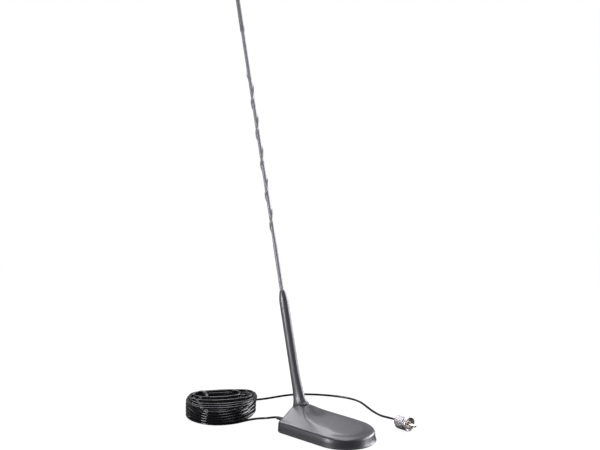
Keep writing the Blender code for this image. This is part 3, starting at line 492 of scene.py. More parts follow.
# Base. The plan has this many points for each of its coarse steps
fine = 3
tent_fullness = 0.86
nose_fullness = 0.34
flank_sink = 0.4 * mm
flank_blend = 0.5 * mm
top_blend = 0.9 * mm
crease_fill = 0.7
shoulder_fall = 1.6 * mm
shoulder_fall_x = 5.0 * mm
shoulder_fall_reach = 50.0 * mm
fullness_x = -50.0 * mm
fullness_reach = 40.0 * mm
nose_slope_x = 20.0 * mm
nose_slope_reach = 18.0 * mm
seat_hold = 5
shoulder_hold = 12


def plan_half(inset):
    """The near half of the foot's plan from the tail's middle to the nose tip, moved inwards."""
    side = foot_half_width - inset
    arc_centre = tail_x + tail_arc_radius
    arc_radius = tail_arc_radius - inset
    fillet = max(tail_corner_radius - inset, 1.0 * mm)
    reach = arc_radius - fillet
    fillet_y = side - fillet
    fillet_x = arc_centre - math.sqrt(reach ** 2 - fillet_y ** 2)
    last = math.asin(fillet_y / reach)
    points = []
    for i in range(7 * fine):
        angle = last * i / (7 * fine)
        points.append((arc_centre - arc_radius * math.cos(angle), -arc_radius * math.sin(angle)))
    for i in range(4 * fine):
        angle = last + (math.pi / 2 - last) * i / (4 * fine)
        points.append((fillet_x - fillet * math.cos(angle), -fillet_y - fillet * math.sin(angle)))
    for i in range(10 * fine):
        points.append((fillet_x + (nose_start_x - fillet_x) * i / (10 * fine), -side))
    nose = nose_x - inset - nose_start_x
    for i in range(12 * fine + 1):
        angle = math.pi / 2 * (1 - i / (12 * fine))
        points.append((nose_start_x + nose * math.cos(angle), -side * math.sin(angle)))
    return points


def plan(inset):
    near = plan_half(inset)
    return near + [(x, -y) for x, y in reversed(near[1:-1])]


def flat_ring(inset, height):
    return [Vector((x, y, height)) for x, y in plan(inset)]


def leaned(x):
    """How far the wall leans back at a place along the foot."""
    return nose_lean * smoothstep((x - nose_start_x) / (nose_x - nose_start_x))


def shoulder_at(x):
    return shoulder_height - shoulder_fall * smoothstep((x - shoulder_fall_x) / shoulder_fall_reach)


def top_at(x):
    """Height of the flat top along the foot, flaring up to the seat."""
    seat_front_x = foot_point.x + seat_front * math.cos(rake)
    flare = seat_flare_rise * math.exp(-max(x - seat_front_x, -2 * mm) / seat_flare_reach)
    return top_height + top_slope * (top_height_x - x) + flare


def edge_distance(point, edge):
    """Distance in plan from a point to the foot's outline."""
    best = 1.0
    for (ax, ay), (bx, by) in zip(edge, edge[1:] + edge[:1]):
        along = (point.x - ax) * (bx - ax) + (point.y - ay) * (by - ay)
        along = min(max(along / ((bx - ax) ** 2 + (by - ay) ** 2), 0.0), 1.0)
        best = min(best, math.hypot(point.x - ax - along * (bx - ax), point.y - ay - along * (by - ay)))
    return best


def soft_max(a, b, blend):
    """The larger of two heights, with the crease between them filled."""
    return max(a, b) + crease_fill * blend * math.log(1 + math.exp(-abs(a - b) / blend))


def seat_ring(depth, inset=0.0):
    """A ring of the egg-shaped seat, one point for each point of the plan."""
    count = len(plan(0.0))
    points = []
    for i in range(count):
        angle = math.pi + math.tau * i / count
        length = (seat_front if math.cos(angle) > 0 else seat_rear) - inset
        side = seat_side - inset
        points.append(whip_frame @ Vector((length * math.cos(angle), side * math.sin(angle), depth)))
    return points


def round_seat_ring(radius, depth):
    return [whip_frame @ point for point in circle_points(radius, depth, len(plan(0.0)), math.pi)]


def wall_ring(inset, share, drop=0.0):
    """A ring on the wall or its rounded shoulder: share 0 is the wall's top, 1 the shoulder."""
    points = []
    for x, y in plan(inset):
        height = shoulder_at(x) - shoulder_rise + shoulder_rise * share - drop
        points.append(Vector((x - leaned(x), y, height)))
    return points


def flank_rings(inset, drop, seat_points, steps):
    """Rings that rise from the shoulder to the seat, held under the flat top."""
    low = [Vector((x - leaned(x), y, shoulder_at(x))) for x, y in plan(inset)]
    edge = [(point.x, point.y) for point in low[::fine]]
    rings = []
    for step in steps:
        ring = []
        for start, end in zip(low, seat_points):
            point = start.lerp(end, step)
            fullness = tent_fullness + nose_fullness * smoothstep((start.x - fullness_x) / fullness_reach)
            tent = start.z + (end.z + drop - start.z) * step ** fullness
            nose = smoothstep((point.x - nose_slope_x) / nose_slope_reach)
            slope = flank_slope + (flank_nose_slope - flank_slope) * nose
            flank = start.z + slope * edge_distance(point, edge) - flank_sink
            raised = soft_max(tent, flank, flank_blend)
            lower = -soft_max(-raised, -top_at(point.x), top_blend)
            keep = min(max((1 - step) * seat_hold, 0.0), 1.0) * min(step * shoulder_hold, 1.0)
            point.z = tent + (lower - tent) * keep - drop
            ring.append(point)
        rings.append(ring)
    return rings


def make_cover():
    """The base's moulded shell, with a fine lip at its rim, the seat's recess and the cable's slot."""
    outer = [flat_ring(0.3 * mm, rim_height), flat_ring(0.0, rim_height + 0.3 * mm),
             wall_ring(wall_draft * 0.5, -1.6), wall_ring(wall_draft, 0.0)]
    for share, rise in ((0.05, 0.2), (0.13, 0.42), (0.24, 0.62), (0.38, 0.78), (0.54, 0.9)):
        outer.append(wall_ring(wall_draft + share * shoulder_inset, rise))
    flank_inset = wall_draft + shoulder_inset - 1.0 * mm
    steps = [0.0, 0.02, 0.045, 0.075, 0.11, 0.15, 0.19, 0.24, 0.29, 0.34, 0.4, 0.46, 0.52, 0.58, 0.64,
             0.7, 0.76, 0.82, 0.88, 0.93, 0.97]
    outer += flank_rings(flank_inset, 0.0, seat_ring(-0.4 * mm), steps)
    outer += [seat_ring(-0.4 * mm), seat_ring(-0.1 * mm, 0.1 * mm), seat_ring(0.0, 0.4 * mm)]
    room = stud_flange_radius + clearance
    floor = -stud_flange_height - clearance
    hole = stud_radius + stud_hole_gap
    under = floor - seat_thickness
    seat = [round_seat_ring(room, 0.0), round_seat_ring(room, floor), round_seat_ring(hole, floor),
            round_seat_ring(hole, under), seat_ring(under, cover_wall)]
    inner = flank_rings(flank_inset + cover_wall, cover_wall + 0.2 * mm, seat_ring(under, cover_wall),
                        (0.0, 0.1, 0.22, 0.38, 0.58, 0.8))
    inner.reverse()
    inner += [wall_ring(wall_draft + cover_wall, 0.0, 1.0 * mm),
              flat_ring(cover_wall, plate_top + clearance), flat_ring(cover_wall, rim_height)]
    shell = drawn_out(outer + seat + inner, closed=True)
    gap = relief_radius + clearance
    arch = []
    for i in range(17):
        angle = math.pi * i / 16
        arch.append((relief_y + gap * math.cos(angle), relief_z + gap * math.sin(angle)))
    arch += [(relief_y - gap, -5 * mm), (relief_y + gap, -5 * mm)]
    slot = drawn_out([[Vector((x, y, z)) for y, z in arch] for x in (tail_x - 5 * mm, tail_x + 12 * mm)])
    piece("cover_skin", carved(shell, slot), "grey_moulding", "base", "base_cover", smooth_angle=30)


def make_pad():
    """The rubber sole: a rounded edge, and a shallow trench pressed round the magnet's place."""
    edge = [flat_ring(pad_inset, pad_thickness - 0.2 * mm), flat_ring(pad_inset + 0.2 * mm, pad_thickness)]
    trench = []
    for inset, height in ((0.0, 0.3), (0.3, 0.0), (5.0, 0.0), (5.3, 0.25), (6.3, 0.25), (6.6, 0.0)):
        trench.append(flat_ring(pad_inset + inset * mm, height * mm))
    trench.reverse()
    piece("pad_skin", drawn_out(trench + edge), "sole_rubber", "base", "base_pad")


# Whip
def boot_ring(height, count=72, inset=0.0):
    """A ring of the boot: egg-shaped, tapering in at its top, with a keel and a foot that spreads."""
    up = height - boot_start
    keel = 1 - smoothstep((up - skin_keel_start) / skin_keel_height)
    rear, side, front = (reach - boot_foot_step for reach in (seat_rear, seat_side, seat_front))
    rear = skin_rear + (rear - skin_rear) * math.exp(-up / skin_rear_spread)
    side = skin_side + (side - skin_side) * math.exp(-up / skin_side_spread)
    spread = (front - skin_front - skin_keel) * math.exp(-up / skin_front_spread)
    front = skin_front + skin_keel * keel + spread
    share = max(height - (boot_length - skin_taper), 0.0) / skin_taper
    shrink = 1 - skin_top_shrink * share ** skin_top_curve
    points = []
    for i in range(count):
        angle = math.tau * i / count
        length = front if math.cos(angle) > 0 else rear
        across = (length * shrink - inset) * math.cos(angle)
        points.append(Vector((across, (side * shrink - inset) * math.sin(angle), height)))
    return points


def make_boot():
    """The rubber boot, hollow for the ferrule, the rod and the sleeve's foot."""
    heights = [boot_start + 0.25 * mm + 30 * mm * (i / 18) ** 1.6 for i in range(18)]
    heights += [boot_start + (30 + i * 9) * mm for i in range(13)]
    heights = [height for height in heights if height < boot_length - skin_taper - 1 * mm]
    heights += [boot_length - skin_taper * (1 - i / 14) for i in range(15)]
    rings = [boot_ring(boot_start, inset=0.25 * mm)] + [boot_ring(height) for height in heights]
    pocket = ferrule_radius + clearance
    pocket_top = boot_start + ferrule_length + clearance
    rod_room = rod_radius + clearance
    sleeve_room = sleeve_thick_radius + clearance
    floor = sleeve_start - clearance
    rings += [circle_points(sleeve_room, boot_length), circle_points(sleeve_room, floor),
              circle_points(rod_room, floor), circle_points(rod_room, pocket_top),
              circle_points(pocket, pocket_top), circle_points(pocket, boot_start)]
    piece("boot_skin", drawn_out(rings, closed=True), "grey_boot_rubber", "whip", "whip_boot",
          place=whip_frame)


def sleeve_ring(height, offset, count=48):
    """The sleeve's section: a circle with a soft ridge where the wire lies under it."""
    whole = smoothstep((height - winding_start) / ridge_fade)
    whole *= smoothstep((winding_end - height) / ridge_fade)
    narrow = smoothstep((height - (winding_start - sleeve_narrowing)) / sleeve_narrowing)
    base = sleeve_thick_radius + (sleeve_thin_radius - sleeve_thick_radius) * narrow
    base += sleeve_fullness - offset
    wound = min(max(height, winding_start), winding_end) - winding_start
    spin = winding_phase + math.tau * wound / winding_pitch
    points = []
    for i in range(count):
        lean = 360 * i / count
        off = min(lean, 360 - lean)
        share = whole * smoothstep(ridge_flatness - off / ridge_spread)
        radius = base + (ridge_radius + ridge_fullness - offset - base) * share
        points.append(around(radius, spin + math.radians(lean), height))
    return points


def make_sleeve():
    """The shrunk sleeve, drawn tight over the wire that winds round the rod."""
    count = round((winding_end - winding_start) / winding_pitch * steps_per_winding)
    heights = [sleeve_start, sleeve_start + 0.2 * mm, winding_start - sleeve_narrowing,
               winding_start - 9 * mm, winding_start - 5 * mm]
    heights += [winding_start + (winding_end - winding_start) * i / count for i in range(count + 1)]
    heights += [cap_start - 4 * mm, sleeve_top]
    outer = [sleeve_ring(height, 0.0) for height in heights]
    inner = [sleeve_ring(height, sleeve_wall) for height in reversed(heights)]
    piece("sleeve_skin", drawn_out(outer + inner, closed=True), "grey_sleeve", "whip", "whip_sleeve",
          place=whip_frame)


def make_cap():
    """The heat-shrunk cap: a rolled lip, a slow taper, and a rounded tip."""
    room = sleeve_thin_radius + clearance
    profile = [(0, rod_top + clearance), (room, rod_top + clearance), (room, cap_start + 0.3 * mm),
               (room + 0.2 * mm, cap_start), (cap_radius - 0.15 * mm, cap_start),
               (cap_radius + 0.05 * mm, cap_start + 0.25 * mm),
               (cap_radius + 0.1 * mm, cap_start + 0.8 * mm), (cap_radius, cap_start + 1.5 * mm),
               (cap_radius - 0.1 * mm, cap_start + 2.4 * mm)]
    radius, low = profile[-1]
    high = cap_top - cap_tip_height
    for i in range(1, 7):
        share = i / 6
        waist = cap_waist * math.sin(math.pi * share)
        profile.append((radius + (cap_tip_radius - radius) * share - waist, low + (high - low) * share))
    for degrees in (12, 26, 40, 54, 68, 80):
        angle = math.radians(degrees)
        profile.append((cap_tip_radius * math.cos(angle), high + cap_tip_height * math.sin(angle)))
    piece("cap_skin", turned(profile + [(0, cap_top)], 48, closed=False), "grey_cap", "whip", "tip_cap",
          place=whip_frame)


# Cable's fittings
def make_relief():
    """The tapered relief at the tail, with rings moulded round it that let it bend."""
    wall_x = tail_x + tail_arc_radius - math.sqrt(tail_arc_radius ** 2 - relief_y ** 2)
    inside = wall_x + cover_wall + wall_draft + 1.3 * mm
    front = inside + relief_flange_width
    outside = wall_x - 1.0 * mm
    bore = cable_radius + 0.15 * mm
    profile = [(bore, -front), (relief_flange_radius - 0.3 * mm, -front),
               (relief_flange_radius, -front + 0.3 * mm), (relief_flange_radius, -inside),
               (relief_radius, -inside), (relief_radius, -outside)]
    length = -relief_end_x + outside
    for i in range(relief_ribs):
        for share, dip in ((0.1, 0.0), (0.5, 0.0), (0.62, 0.42), (0.88, 0.42), (1.0, 0.0)):
            along = (i + share) / relief_ribs
            skin = relief_radius + (relief_end_radius - relief_radius) * along
            profile.append((skin - dip * mm * (1 - 0.3 * along), -outside + length * along * 0.96))
    profile += [(relief_end_radius - 0.1 * mm, -relief_end_x - 0.15 * mm),
                (relief_end_radius - 0.35 * mm, -relief_end_x), (bore, -relief_end_x)]
    place = Matrix.Translation((0, relief_y, relief_z)) @ Matrix.Rotation(-math.pi / 2, 4, "Y")
    piece("relief_skin", turned(profile, 48), "black_rubber", "base", "strain_relief", place=place)


def make_tie():
    """The tie: a flat strap snug round the strands, with its head on top."""
    line = [Vector((tie_reach + x, 0, z)) * mm for x, z in tie_corners]
    loop = through(line + [line[0]])[:-1]
    strap = []
    for side, grow in ((-0.5, 0.0), (-0.5, 1.0), (-0.38, 1.25), (0.38, 1.25), (0.5, 1.0), (0.5, 0.0)):
        ring = []
        for i, point in enumerate(loop):
            along = (loop[(i + 1) % len(loop)] - loop[i - 1]).normalized()
            out = Vector((along.z, 0, -along.x))
            ring.append(point + out * grow * 0.6 * tie_thickness + Vector((0, side * tie_width, 0)))
        strap.append(ring)
    place = Matrix.Translation(coil_centre) @ Matrix.Rotation(tie_angle, 4, "Z")
    piece("tie_strap", drawn_out(strap, closed=True), "black_plastic", "base", "coil_tie", place=place,
          smooth_angle=50)
    head = block((4.6 * mm, 4.6 * mm, 2.3 * mm), (0, 0, 0))
    bmesh.ops.bevel(head, geom=head.edges, offset=0.5 * mm, segments=3, profile=0.5, material=-1,
                    affect="EDGES")
    tilt = Matrix.Rotation(math.radians(-22), 4, "Y")
    seat = Matrix.Translation(Vector((tie_reach - 5.4, 0, 22.3)) * mm)
    piece("tie_head", head, "black_plastic", "base", place=place @ seat @ tilt)


# Plug
def tooth_ring(radius, height, depth, count=240):
    """A ring of the knurl: rounded teeth round the grip."""
    points = []
    for i in range(count):
        angle = math.tau * i / count
        wave = 0.5 - 0.5 * math.cos(angle * knurl_count)
        out = radius - depth * wave ** tooth_sharpness
        points.append(around(out, angle, height))
    return points


def knurled(rows):
    """A closed form through rows of radius, height and depth of the teeth."""
    return drawn_out([tooth_ring(*row) for row in rows], closed=True)


def make_ring():
    """The coupling ring: knurled grip, deep groove, plain lip, and a mouth cut with a thread."""
    groove = ring_radius - ring_groove_depth
    grip_top = -ring_lip_length - ring_groove_width
    back = -ring_length
    tooth = knurl_depth
    rows = ((ring_web_radius, back, 0), (ring_radius - ring_back_step - 0.2 * mm, back, 0),
            (ring_radius - ring_back_step, back + 0.2 * mm, 0),
            (ring_radius - 0.25 * mm, back + ring_back_taper - 0.3 * mm, 0.2 * tooth),
            (ring_radius, back + ring_back_taper, tooth),
            (ring_radius, back + ring_back_taper + 2 * mm, tooth),
            (ring_radius, grip_top - 0.8 * mm, tooth), (ring_radius, grip_top - 0.5 * mm, tooth),
            (ring_radius - 0.35 * mm, grip_top - 0.2 * mm, 0.1 * tooth), (groove + 0.1 * mm, grip_top, 0),
            (groove, grip_top + 0.15 * mm, 0), (groove, -ring_lip_length - 0.15 * mm, 0),
            (groove + 0.1 * mm, -ring_lip_length, 0), (ring_radius - 0.2 * mm, -ring_lip_length, 0),
            (ring_radius, -ring_lip_length + 0.25 * mm, 0), (ring_radius, -0.35 * mm, 0),
            (ring_radius - 0.1 * mm, -0.1 * mm, 0), (ring_radius - 0.3 * mm, 0.0, 0),
            (ring_mouth_radius + 0.15 * mm, 0.0, 0), (ring_mouth_radius, -0.25 * mm, 0),
            (ring_mouth_radius, -ring_mouth_depth, 0), (ring_web_radius, -ring_mouth_depth, 0))
    piece("ring_skin", knurled(rows), "nickel_plate", "ring", "plug_ring", place=plug_frame,
          smooth_angle=40)
    thread = wound_ridge(ring_mouth_radius + 0.1 * mm, ring_mouth_radius - 0.42 * mm,
                         -ring_mouth_depth + 0.9 * mm, 0.48 * mm, ring_pitch, ring_turns, 56 * ring_turns)
    piece("ring_thread", thread, "nickel_plate", "ring", place=plug_frame, smooth_angle=50)


def make_stud():
    """The stud that the whip screws onto: a turned core and flange, with a thread above the seat."""
    core = stud_core_radius
    piece("stud_skin", turned([
        (0, stud_bottom), (stud_radius - 0.4 * mm, stud_bottom), (stud_radius, stud_bottom + 0.5 * mm),
        (stud_radius, -stud_flange_height), (stud_flange_radius - 0.1 * mm, -stud_flange_height),
        (stud_flange_radius, -stud_flange_height + 0.1 * mm), (stud_flange_radius, -0.15 * mm),
        (stud_flange_radius - 0.15 * mm, 0.0), (core, 0.0), (core, stud_top - 0.4 * mm),
        (core - 0.4 * mm, stud_top), (0, stud_top)], 48, closed=False),
        "brass", "base", "whip_stud", place=whip_frame)
    low = 0.9 * mm
    turns = (stud_top - 0.5 * mm - low) / stud_pitch
    thread = wound_ridge(core - 0.1 * mm, stud_radius, low, 0.46 * stud_pitch, stud_pitch, turns,
                         round(36 * turns))
    piece("stud_thread", thread, "brass", "base", place=whip_frame, smooth_angle=50)


def make_plug():
    """The plug's barrel with its slotted rim, the insulator, the hollow pin and the cable's reducer."""
    insulator_back = -ring_mouth_depth - 1.0 * mm
    flange_front = -ring_mouth_depth + clearance + barrel_flange_width
    tail = -ring_length - plug_tail_length
    neck = ring_web_radius - clearance
    bore = cable_radius + 1.4 * mm
    body = turned([
        (barrel_bore_radius, insulator_back), (barrel_bore_radius, barrel_lip - 0.2 * mm),
        (barrel_bore_radius + 0.2 * mm, barrel_lip), (barrel_radius - 0.25 * mm, barrel_lip),
        (barrel_radius, barrel_lip - 0.25 * mm), (barrel_radius, flange_front),
        (barrel_flange_radius, flange_front), (barrel_flange_radius, flange_front - barrel_flange_width),
        (neck, flange_front - barrel_flange_width), (neck, -ring_length), (plug_tail_radius, -ring_length),
        (plug_tail_radius, tail + 0.5 * mm), (plug_tail_radius - 0.5 * mm, tail),
        (bore, tail), (bore, insulator_back)], 72)
    notches = []
    for i in range(2):
        notch = block((2.4 * barrel_radius, notch_width, 2 * notch_depth), (0, 0, barrel_lip))
        turn = Matrix.Rotation(math.tau * (i + 0.5) / 4, 4, "Z")
        bmesh.ops.transform(notch, matrix=turn, verts=notch.verts)
        notches.append(notch)
    piece("plug_barrel", carved(body, *notches), "nickel_plate", "base", "plug_body", place=plug_frame)

    floor = barrel_lip - notch_depth - 0.2 * mm
    pin_room = pin_radius + clearance
    edge = barrel_bore_radius - clearance
    face = barrel_lip - clearance
    piece("insulator_skin", turned([
        (pin_room, insulator_back + clearance), (edge, insulator_back + clearance), (edge, floor),
        (barrel_bore_radius - 1.0 * mm, face), (3.1 * mm, face), (3.0 * mm, face - 0.4 * mm),
        (2.7 * mm, face - 0.4 * mm), (2.6 * mm, face), (pin_room, face)], 64), "insulator_resin", "base",
        "plug_insulator", place=plug_frame)
    pin_back = insulator_back - 3.0 * mm
    pin = turned([
        (pin_bore_radius, pin_back), (pin_radius, pin_back), (pin_radius, pin_reach - 1.2 * mm),
        (pin_radius - 0.25 * mm, pin_reach - 0.6 * mm), (pin_radius - 0.65 * mm, pin_reach - 0.1 * mm),
        (pin_radius - 0.85 * mm, pin_reach), (pin_bore_radius, pin_reach - 0.15 * mm)], 48)
    piece("pin_skin", pin, "pin_plate", "base", "plug_pin", place=plug_frame)

    room = cable_radius + 0.15 * mm
    collar = bore + 0.9 * mm
    tooth = 0.5 * knurl_depth
    rows = [(room, pin_back - 3.0 * mm, 0), (bore - clearance, pin_back - 3.0 * mm, 0),
            (bore - clearance, tail - clearance, 0), (collar - 0.2 * mm, tail - clearance, 0),
            (collar, tail - clearance - 0.2 * mm, tooth), (collar, tail - 1.5 * mm, tooth),
            (collar - 0.3 * mm, tail - 1.7 * mm, 0), (bore - 0.3 * mm, tail - 2.35 * mm, 0),
            (bore - 0.4 * mm, tail - 2.4 * mm, 0), (room, tail - 2.4 * mm, 0)]
    piece("reducer_skin", knurled(rows), "nickel_plate", "base", "plug_reducer", place=plug_frame,
          smooth_angle=40)


# Shader nodes
def feed(tree, spot, side):
    """Links an input to another node's output, or gives it a plain value."""
    if isinstance(side, bpy.types.NodeSocket):
        tree.links.new(side, spot)
    else:
        spot.default_value = side


def node(tree, kind, fed=None, **values):
    """A node with its settings; fed says what goes into its inputs, by their names or places."""
    made = tree.nodes.new(kind)
    for name, value in values.items():
        setattr(made, name, value)
    for spot, side in (fed or {}).items():
        feed(tree, made.inputs[spot], side)
    return made


def calculate(tree, operation, first, second, clamp=False):
    made = node(tree, "ShaderNodeMath", {0: first, 1: second}, operation=operation, use_clamp=clamp)
    return made.outputs[0]


def times(tree, first, second, clamp=False):
    return calculate(tree, "MULTIPLY", first, second, clamp)


def plus(tree, first, second, clamp=False):
    return calculate(tree, "ADD", first, second, clamp)


def larger(tree, first, second):
    return calculate(tree, "MAXIMUM", first, second)


def ranged(tree, value, low, high, to_low=0.0, to_high=1.0):
    fed = {"Value": value, "From Min": low, "From Max": high, "To Min": to_low, "To Max": to_high}
    return node(tree, "ShaderNodeMapRange", fed, interpolation_type="SMOOTHSTEP").outputs["Result"]


def mixed(tree, share, first, second, **kind):
    return node(tree, "ShaderNodeMix", {"Factor": share, "A": first, "B": second}, **kind).outputs["Result"]


def noise(tree, vector, scale, detail=3.0, rough=0.55):
    fed = {"Vector": vector, "Scale": scale, "Detail": detail, "Roughness": rough}
    return node(tree, "ShaderNodeTexNoise", fed).outputs["Fac"]


def stretched(tree, vector, scale, turn=(0, 0, 0)):
    fed = {"Scale": scale, "Rotation": turn, "Vector": vector}
    return node(tree, "ShaderNodeMapping", fed).outputs["Vector"]


def banded(tree, vector, scale, distortion=0.0):
    fed = {"Vector": vector, "Scale": scale, "Distortion": distortion}
    return node(tree, "ShaderNodeTexWave", fed, wave_type="BANDS", bands_direction="X").outputs["Fac"]


def new_group(name, result, **values):
    """A shader group with a vector and some values in and one value out; gives its tree and both ends."""
    tree = bpy.data.node_groups.new(name, "ShaderNodeTree")
    tree.interface.new_socket(name="Vector", in_out="INPUT", socket_type="NodeSocketVector")
    for label, value in values.items():
        made = tree.interface.new_socket(name=label, in_out="INPUT", socket_type="NodeSocketFloat")
        made.default_value = value
    tree.interface.new_socket(name=result, in_out="OUTPUT", socket_type="NodeSocketFloat")
    given = tree.nodes.new("NodeGroupInput").outputs
    end = tree.nodes.new("NodeGroupOutput").inputs[result]
    return tree, given, end


def make_groups():
    """The effects that the finishes share."""
    groups = {}
    tree, given, end = new_group("tone_drift", "Shade", Scale=40.0, Amount=0.1)
    broad = noise(tree, given["Vector"], given["Scale"], 2.0)
    small = noise(tree, given["Vector"], times(tree, given["Scale"], 9.0), 4.0, 0.65)
    both = plus(tree, times(tree, broad, 0.6), times(tree, small, 0.4))
    swing = times(tree, calculate(tree, "SUBTRACT", both, 0.5), given["Amount"])
    feed(tree, end, plus(tree, times(tree, swing, 4.0), 1.0))
    groups["drift"] = tree

    tree, given, end = new_group("moulded_grain", "Height", Scale=1500.0)
    fed = {"Vector": given["Vector"], "Scale": given["Scale"], "Smoothness": 0.6}
    cells = node(tree, "ShaderNodeTexVoronoi", fed, feature="SMOOTH_F1")
    ripple = noise(tree, given["Vector"], times(tree, given["Scale"], 0.5), 3.0)
    feed(tree, end, plus(tree, times(tree, cells.outputs["Distance"], 0.6), times(tree, ripple, 0.6)))
    groups["grain"] = tree

    tree, given, end = new_group("edge_wear", "Mask", Amount=0.5)
    ridge = ranged(tree, node(tree, "ShaderNodeNewGeometry").outputs["Pointiness"], 0.505, 0.56)
    patchy = ranged(tree, noise(tree, given["Vector"], 260.0, 5.0, 0.7), 0.4, 0.62, 0.25, 1.0)
    feed(tree, end, times(tree, times(tree, ridge, patchy), given["Amount"], True))
    groups["wear"] = tree

    tree, given, end = new_group("fine_scuffs", "Mask", Scale=60.0, Amount=0.3)
    marks = []
    for turn in ((0, 0, 0.5), (0, 0, -0.9), (0.7, 0.2, 1.9)):
        spread = stretched(tree, given["Vector"], (1.0, 16.0, 16.0), turn)
        marks.append(ranged(tree, noise(tree, spread, given["Scale"], 2.0, 0.5), 0.66, 0.72))
    both = larger(tree, larger(tree, marks[0], marks[1]), marks[2])
    feed(tree, end, times(tree, both, given["Amount"], True))
    groups["scuffs"] = tree

    tree, given, end = new_group("settled_dust", "Mask", Amount=0.1)
    split = node(tree, "ShaderNodeSeparateXYZ", {0: node(tree, "ShaderNodeNewGeometry").outputs["Normal"]})
    upward = ranged(tree, split.outputs["Z"], 0.55, 0.95)
    specks = ranged(tree, noise(tree, given["Vector"], 420.0, 5.0, 0.7), 0.42, 0.75, 0.15, 1.0)
    feed(tree, end, times(tree, times(tree, upward, specks), given["Amount"], True))
    groups["dust"] = tree

    tree, given, end = new_group("turning_marks", "Height", Scale=900.0)
    lines = banded(tree, given["Vector"], given["Scale"], 0.6)
    uneven = noise(tree, stretched(tree, given["Vector"], (1.0, 0.04, 0.04)), 2600.0, 2.0)
    feed(tree, end, plus(tree, times(tree, lines, 0.5), times(tree, uneven, 0.5)))
    groups["turning"] = tree
    return groups


groups = make_groups()
dust_colour = (0.34, 0.33, 0.31, 1)


def place_group(tree, name, vector, **values):
    return node(tree, "ShaderNodeGroup", {"Vector": vector, **values}, node_tree=groups[name]).outputs[0]


def surface(name, colour, roughness, metallic, level, drift, grain, wear, scuffs, dust, marks=None):
    """A finish: drifting tone, worn edges, scuffs, dust, and a grain or turning marks in its relief."""
    made = bpy.data.materials.new(name)
    made.use_nodes = True
    tree = made.node_tree
    shader = tree.nodes["Principled BSDF"].inputs
    shader["Specular IOR Level"].default_value = level
    spot = node(tree, "ShaderNodeTexCoord").outputs["Object"]
    shade = place_group(tree, "drift", spot, Scale=drift[0], Amount=drift[1])
    worn = place_group(tree, "wear", spot, Amount=wear[0])
    rubbed = place_group(tree, "scuffs", spot, Scale=scuffs[0], Amount=scuffs[1])
    dusty = place_group(tree, "dust", spot, Amount=dust)

    tinted = mixed(tree, 1.0, (*colour, 1), shade, data_type="RGBA", blend_type="MULTIPLY")
    aged = mixed(tree, worn, tinted, (*wear[1], 1), data_type="RGBA")
    feed(tree, shader["Base Color"], mixed(tree, dusty, aged, dust_colour, data_type="RGBA"))

    rough = plus(tree, times(tree, shade, roughness), times(tree, rubbed, 0.25))
    feed(tree, shader["Roughness"], plus(tree, rough, times(tree, dusty, 0.4), True))
    if metallic:
        bare = calculate(tree, "SUBTRACT", metallic, times(tree, dusty, 0.8), True)
        feed(tree, shader["Metallic"], bare)

    relief = times(tree, place_group(tree, "grain", spot, Scale=grain[0]), grain[1])
    if marks:
        facing = stretched(tree, spot, (1, 1, 1), (0, 0, -plug_yaw))
        lined = place_group(tree, "turning", facing, Scale=marks[0])
        relief = plus(tree, relief, times(tree, lined, marks[1]))
    height = calculate(tree, "SUBTRACT", relief, times(tree, rubbed, 0.01))
    bump = node(tree, "ShaderNodeBump", {"Strength": 1.0, "Distance": mm, "Height": height})
    feed(tree, shader["Normal"], bump.outputs["Normal"])
    return made


def weave(finish):
    """Adds a flat woven braid to a finish's relief: two sets of crossing strands."""
    tree = finish.node_tree
    spot = tree.nodes["Texture Coordinate"].outputs["Object"]
    heights = []
    for turn in (math.radians(35), math.radians(-35)):
        heights.append(banded(tree, stretched(tree, spot, (1, 1, 1), (0, 0, turn)), 420.0))
    raised = times(tree, larger(tree, heights[0], heights[1]), 0.08)
    height = tree.nodes["Bump"].inputs["Height"]
    feed(tree, height, plus(tree, height.links[0].from_socket, raised))


# Studio
cool_light = (0.962, 0.95, 1.0)
room_toward = Vector((-0.5, 0.5, 0.6)).normalized()
room_turn = (-0.45, 0.6)
room_mirrored = (0.10, 0.50)
room_soft = 0.4
floor_size = 6.0
# Painted shade in reflections: the floor's glow for reflected rays rises over this reach from the antenna,
# between these two strengths.
floor_painted_shade_reach = (0.12, 0.42)
floor_mirrored_painted_shade = (0.10, 0.5)
floor_white_reach = (0.25, 1.2)
floor_whiteness = (0.90, 1.0)


def ray_kinds(tree):
    """Whether a ray comes straight from the camera or through glass, and whether it is mirrored."""
    path = node(tree, "ShaderNodeLightPath").outputs
    return larger(tree, path["Is Camera Ray"], path["Is Transmission Ray"]), path["Is Glossy Ray"]


def make_world():
    """White as the backdrop, and a dim room that brightens to one side for light and mirrored rays."""
    world = bpy.data.worlds.new("studio")
    scene.world = world
    world.use_nodes = True
    tree = world.node_tree
    backdrop = tree.nodes["Background"].inputs
    seen, mirrored = ray_kinds(tree)
    fed = {0: node(tree, "ShaderNodeTexCoord").outputs["Generated"], 1: room_toward}
    toward = node(tree, "ShaderNodeVectorMath", fed, operation="DOT_PRODUCT")
    room = ranged(tree, toward.outputs["Value"], *room_turn, *room_mirrored)
    soft = times(tree, calculate(tree, "SUBTRACT", 1.0, mirrored), room_soft)
    strength = plus(tree, times(tree, room, mirrored), soft)
    feed(tree, backdrop["Strength"], mixed(tree, seen, strength, 1.0))
    tint = mixed(tree, seen, (*cool_light, 1), (1, 1, 1, 1), data_type="RGBA")
    feed(tree, backdrop["Color"], tint)


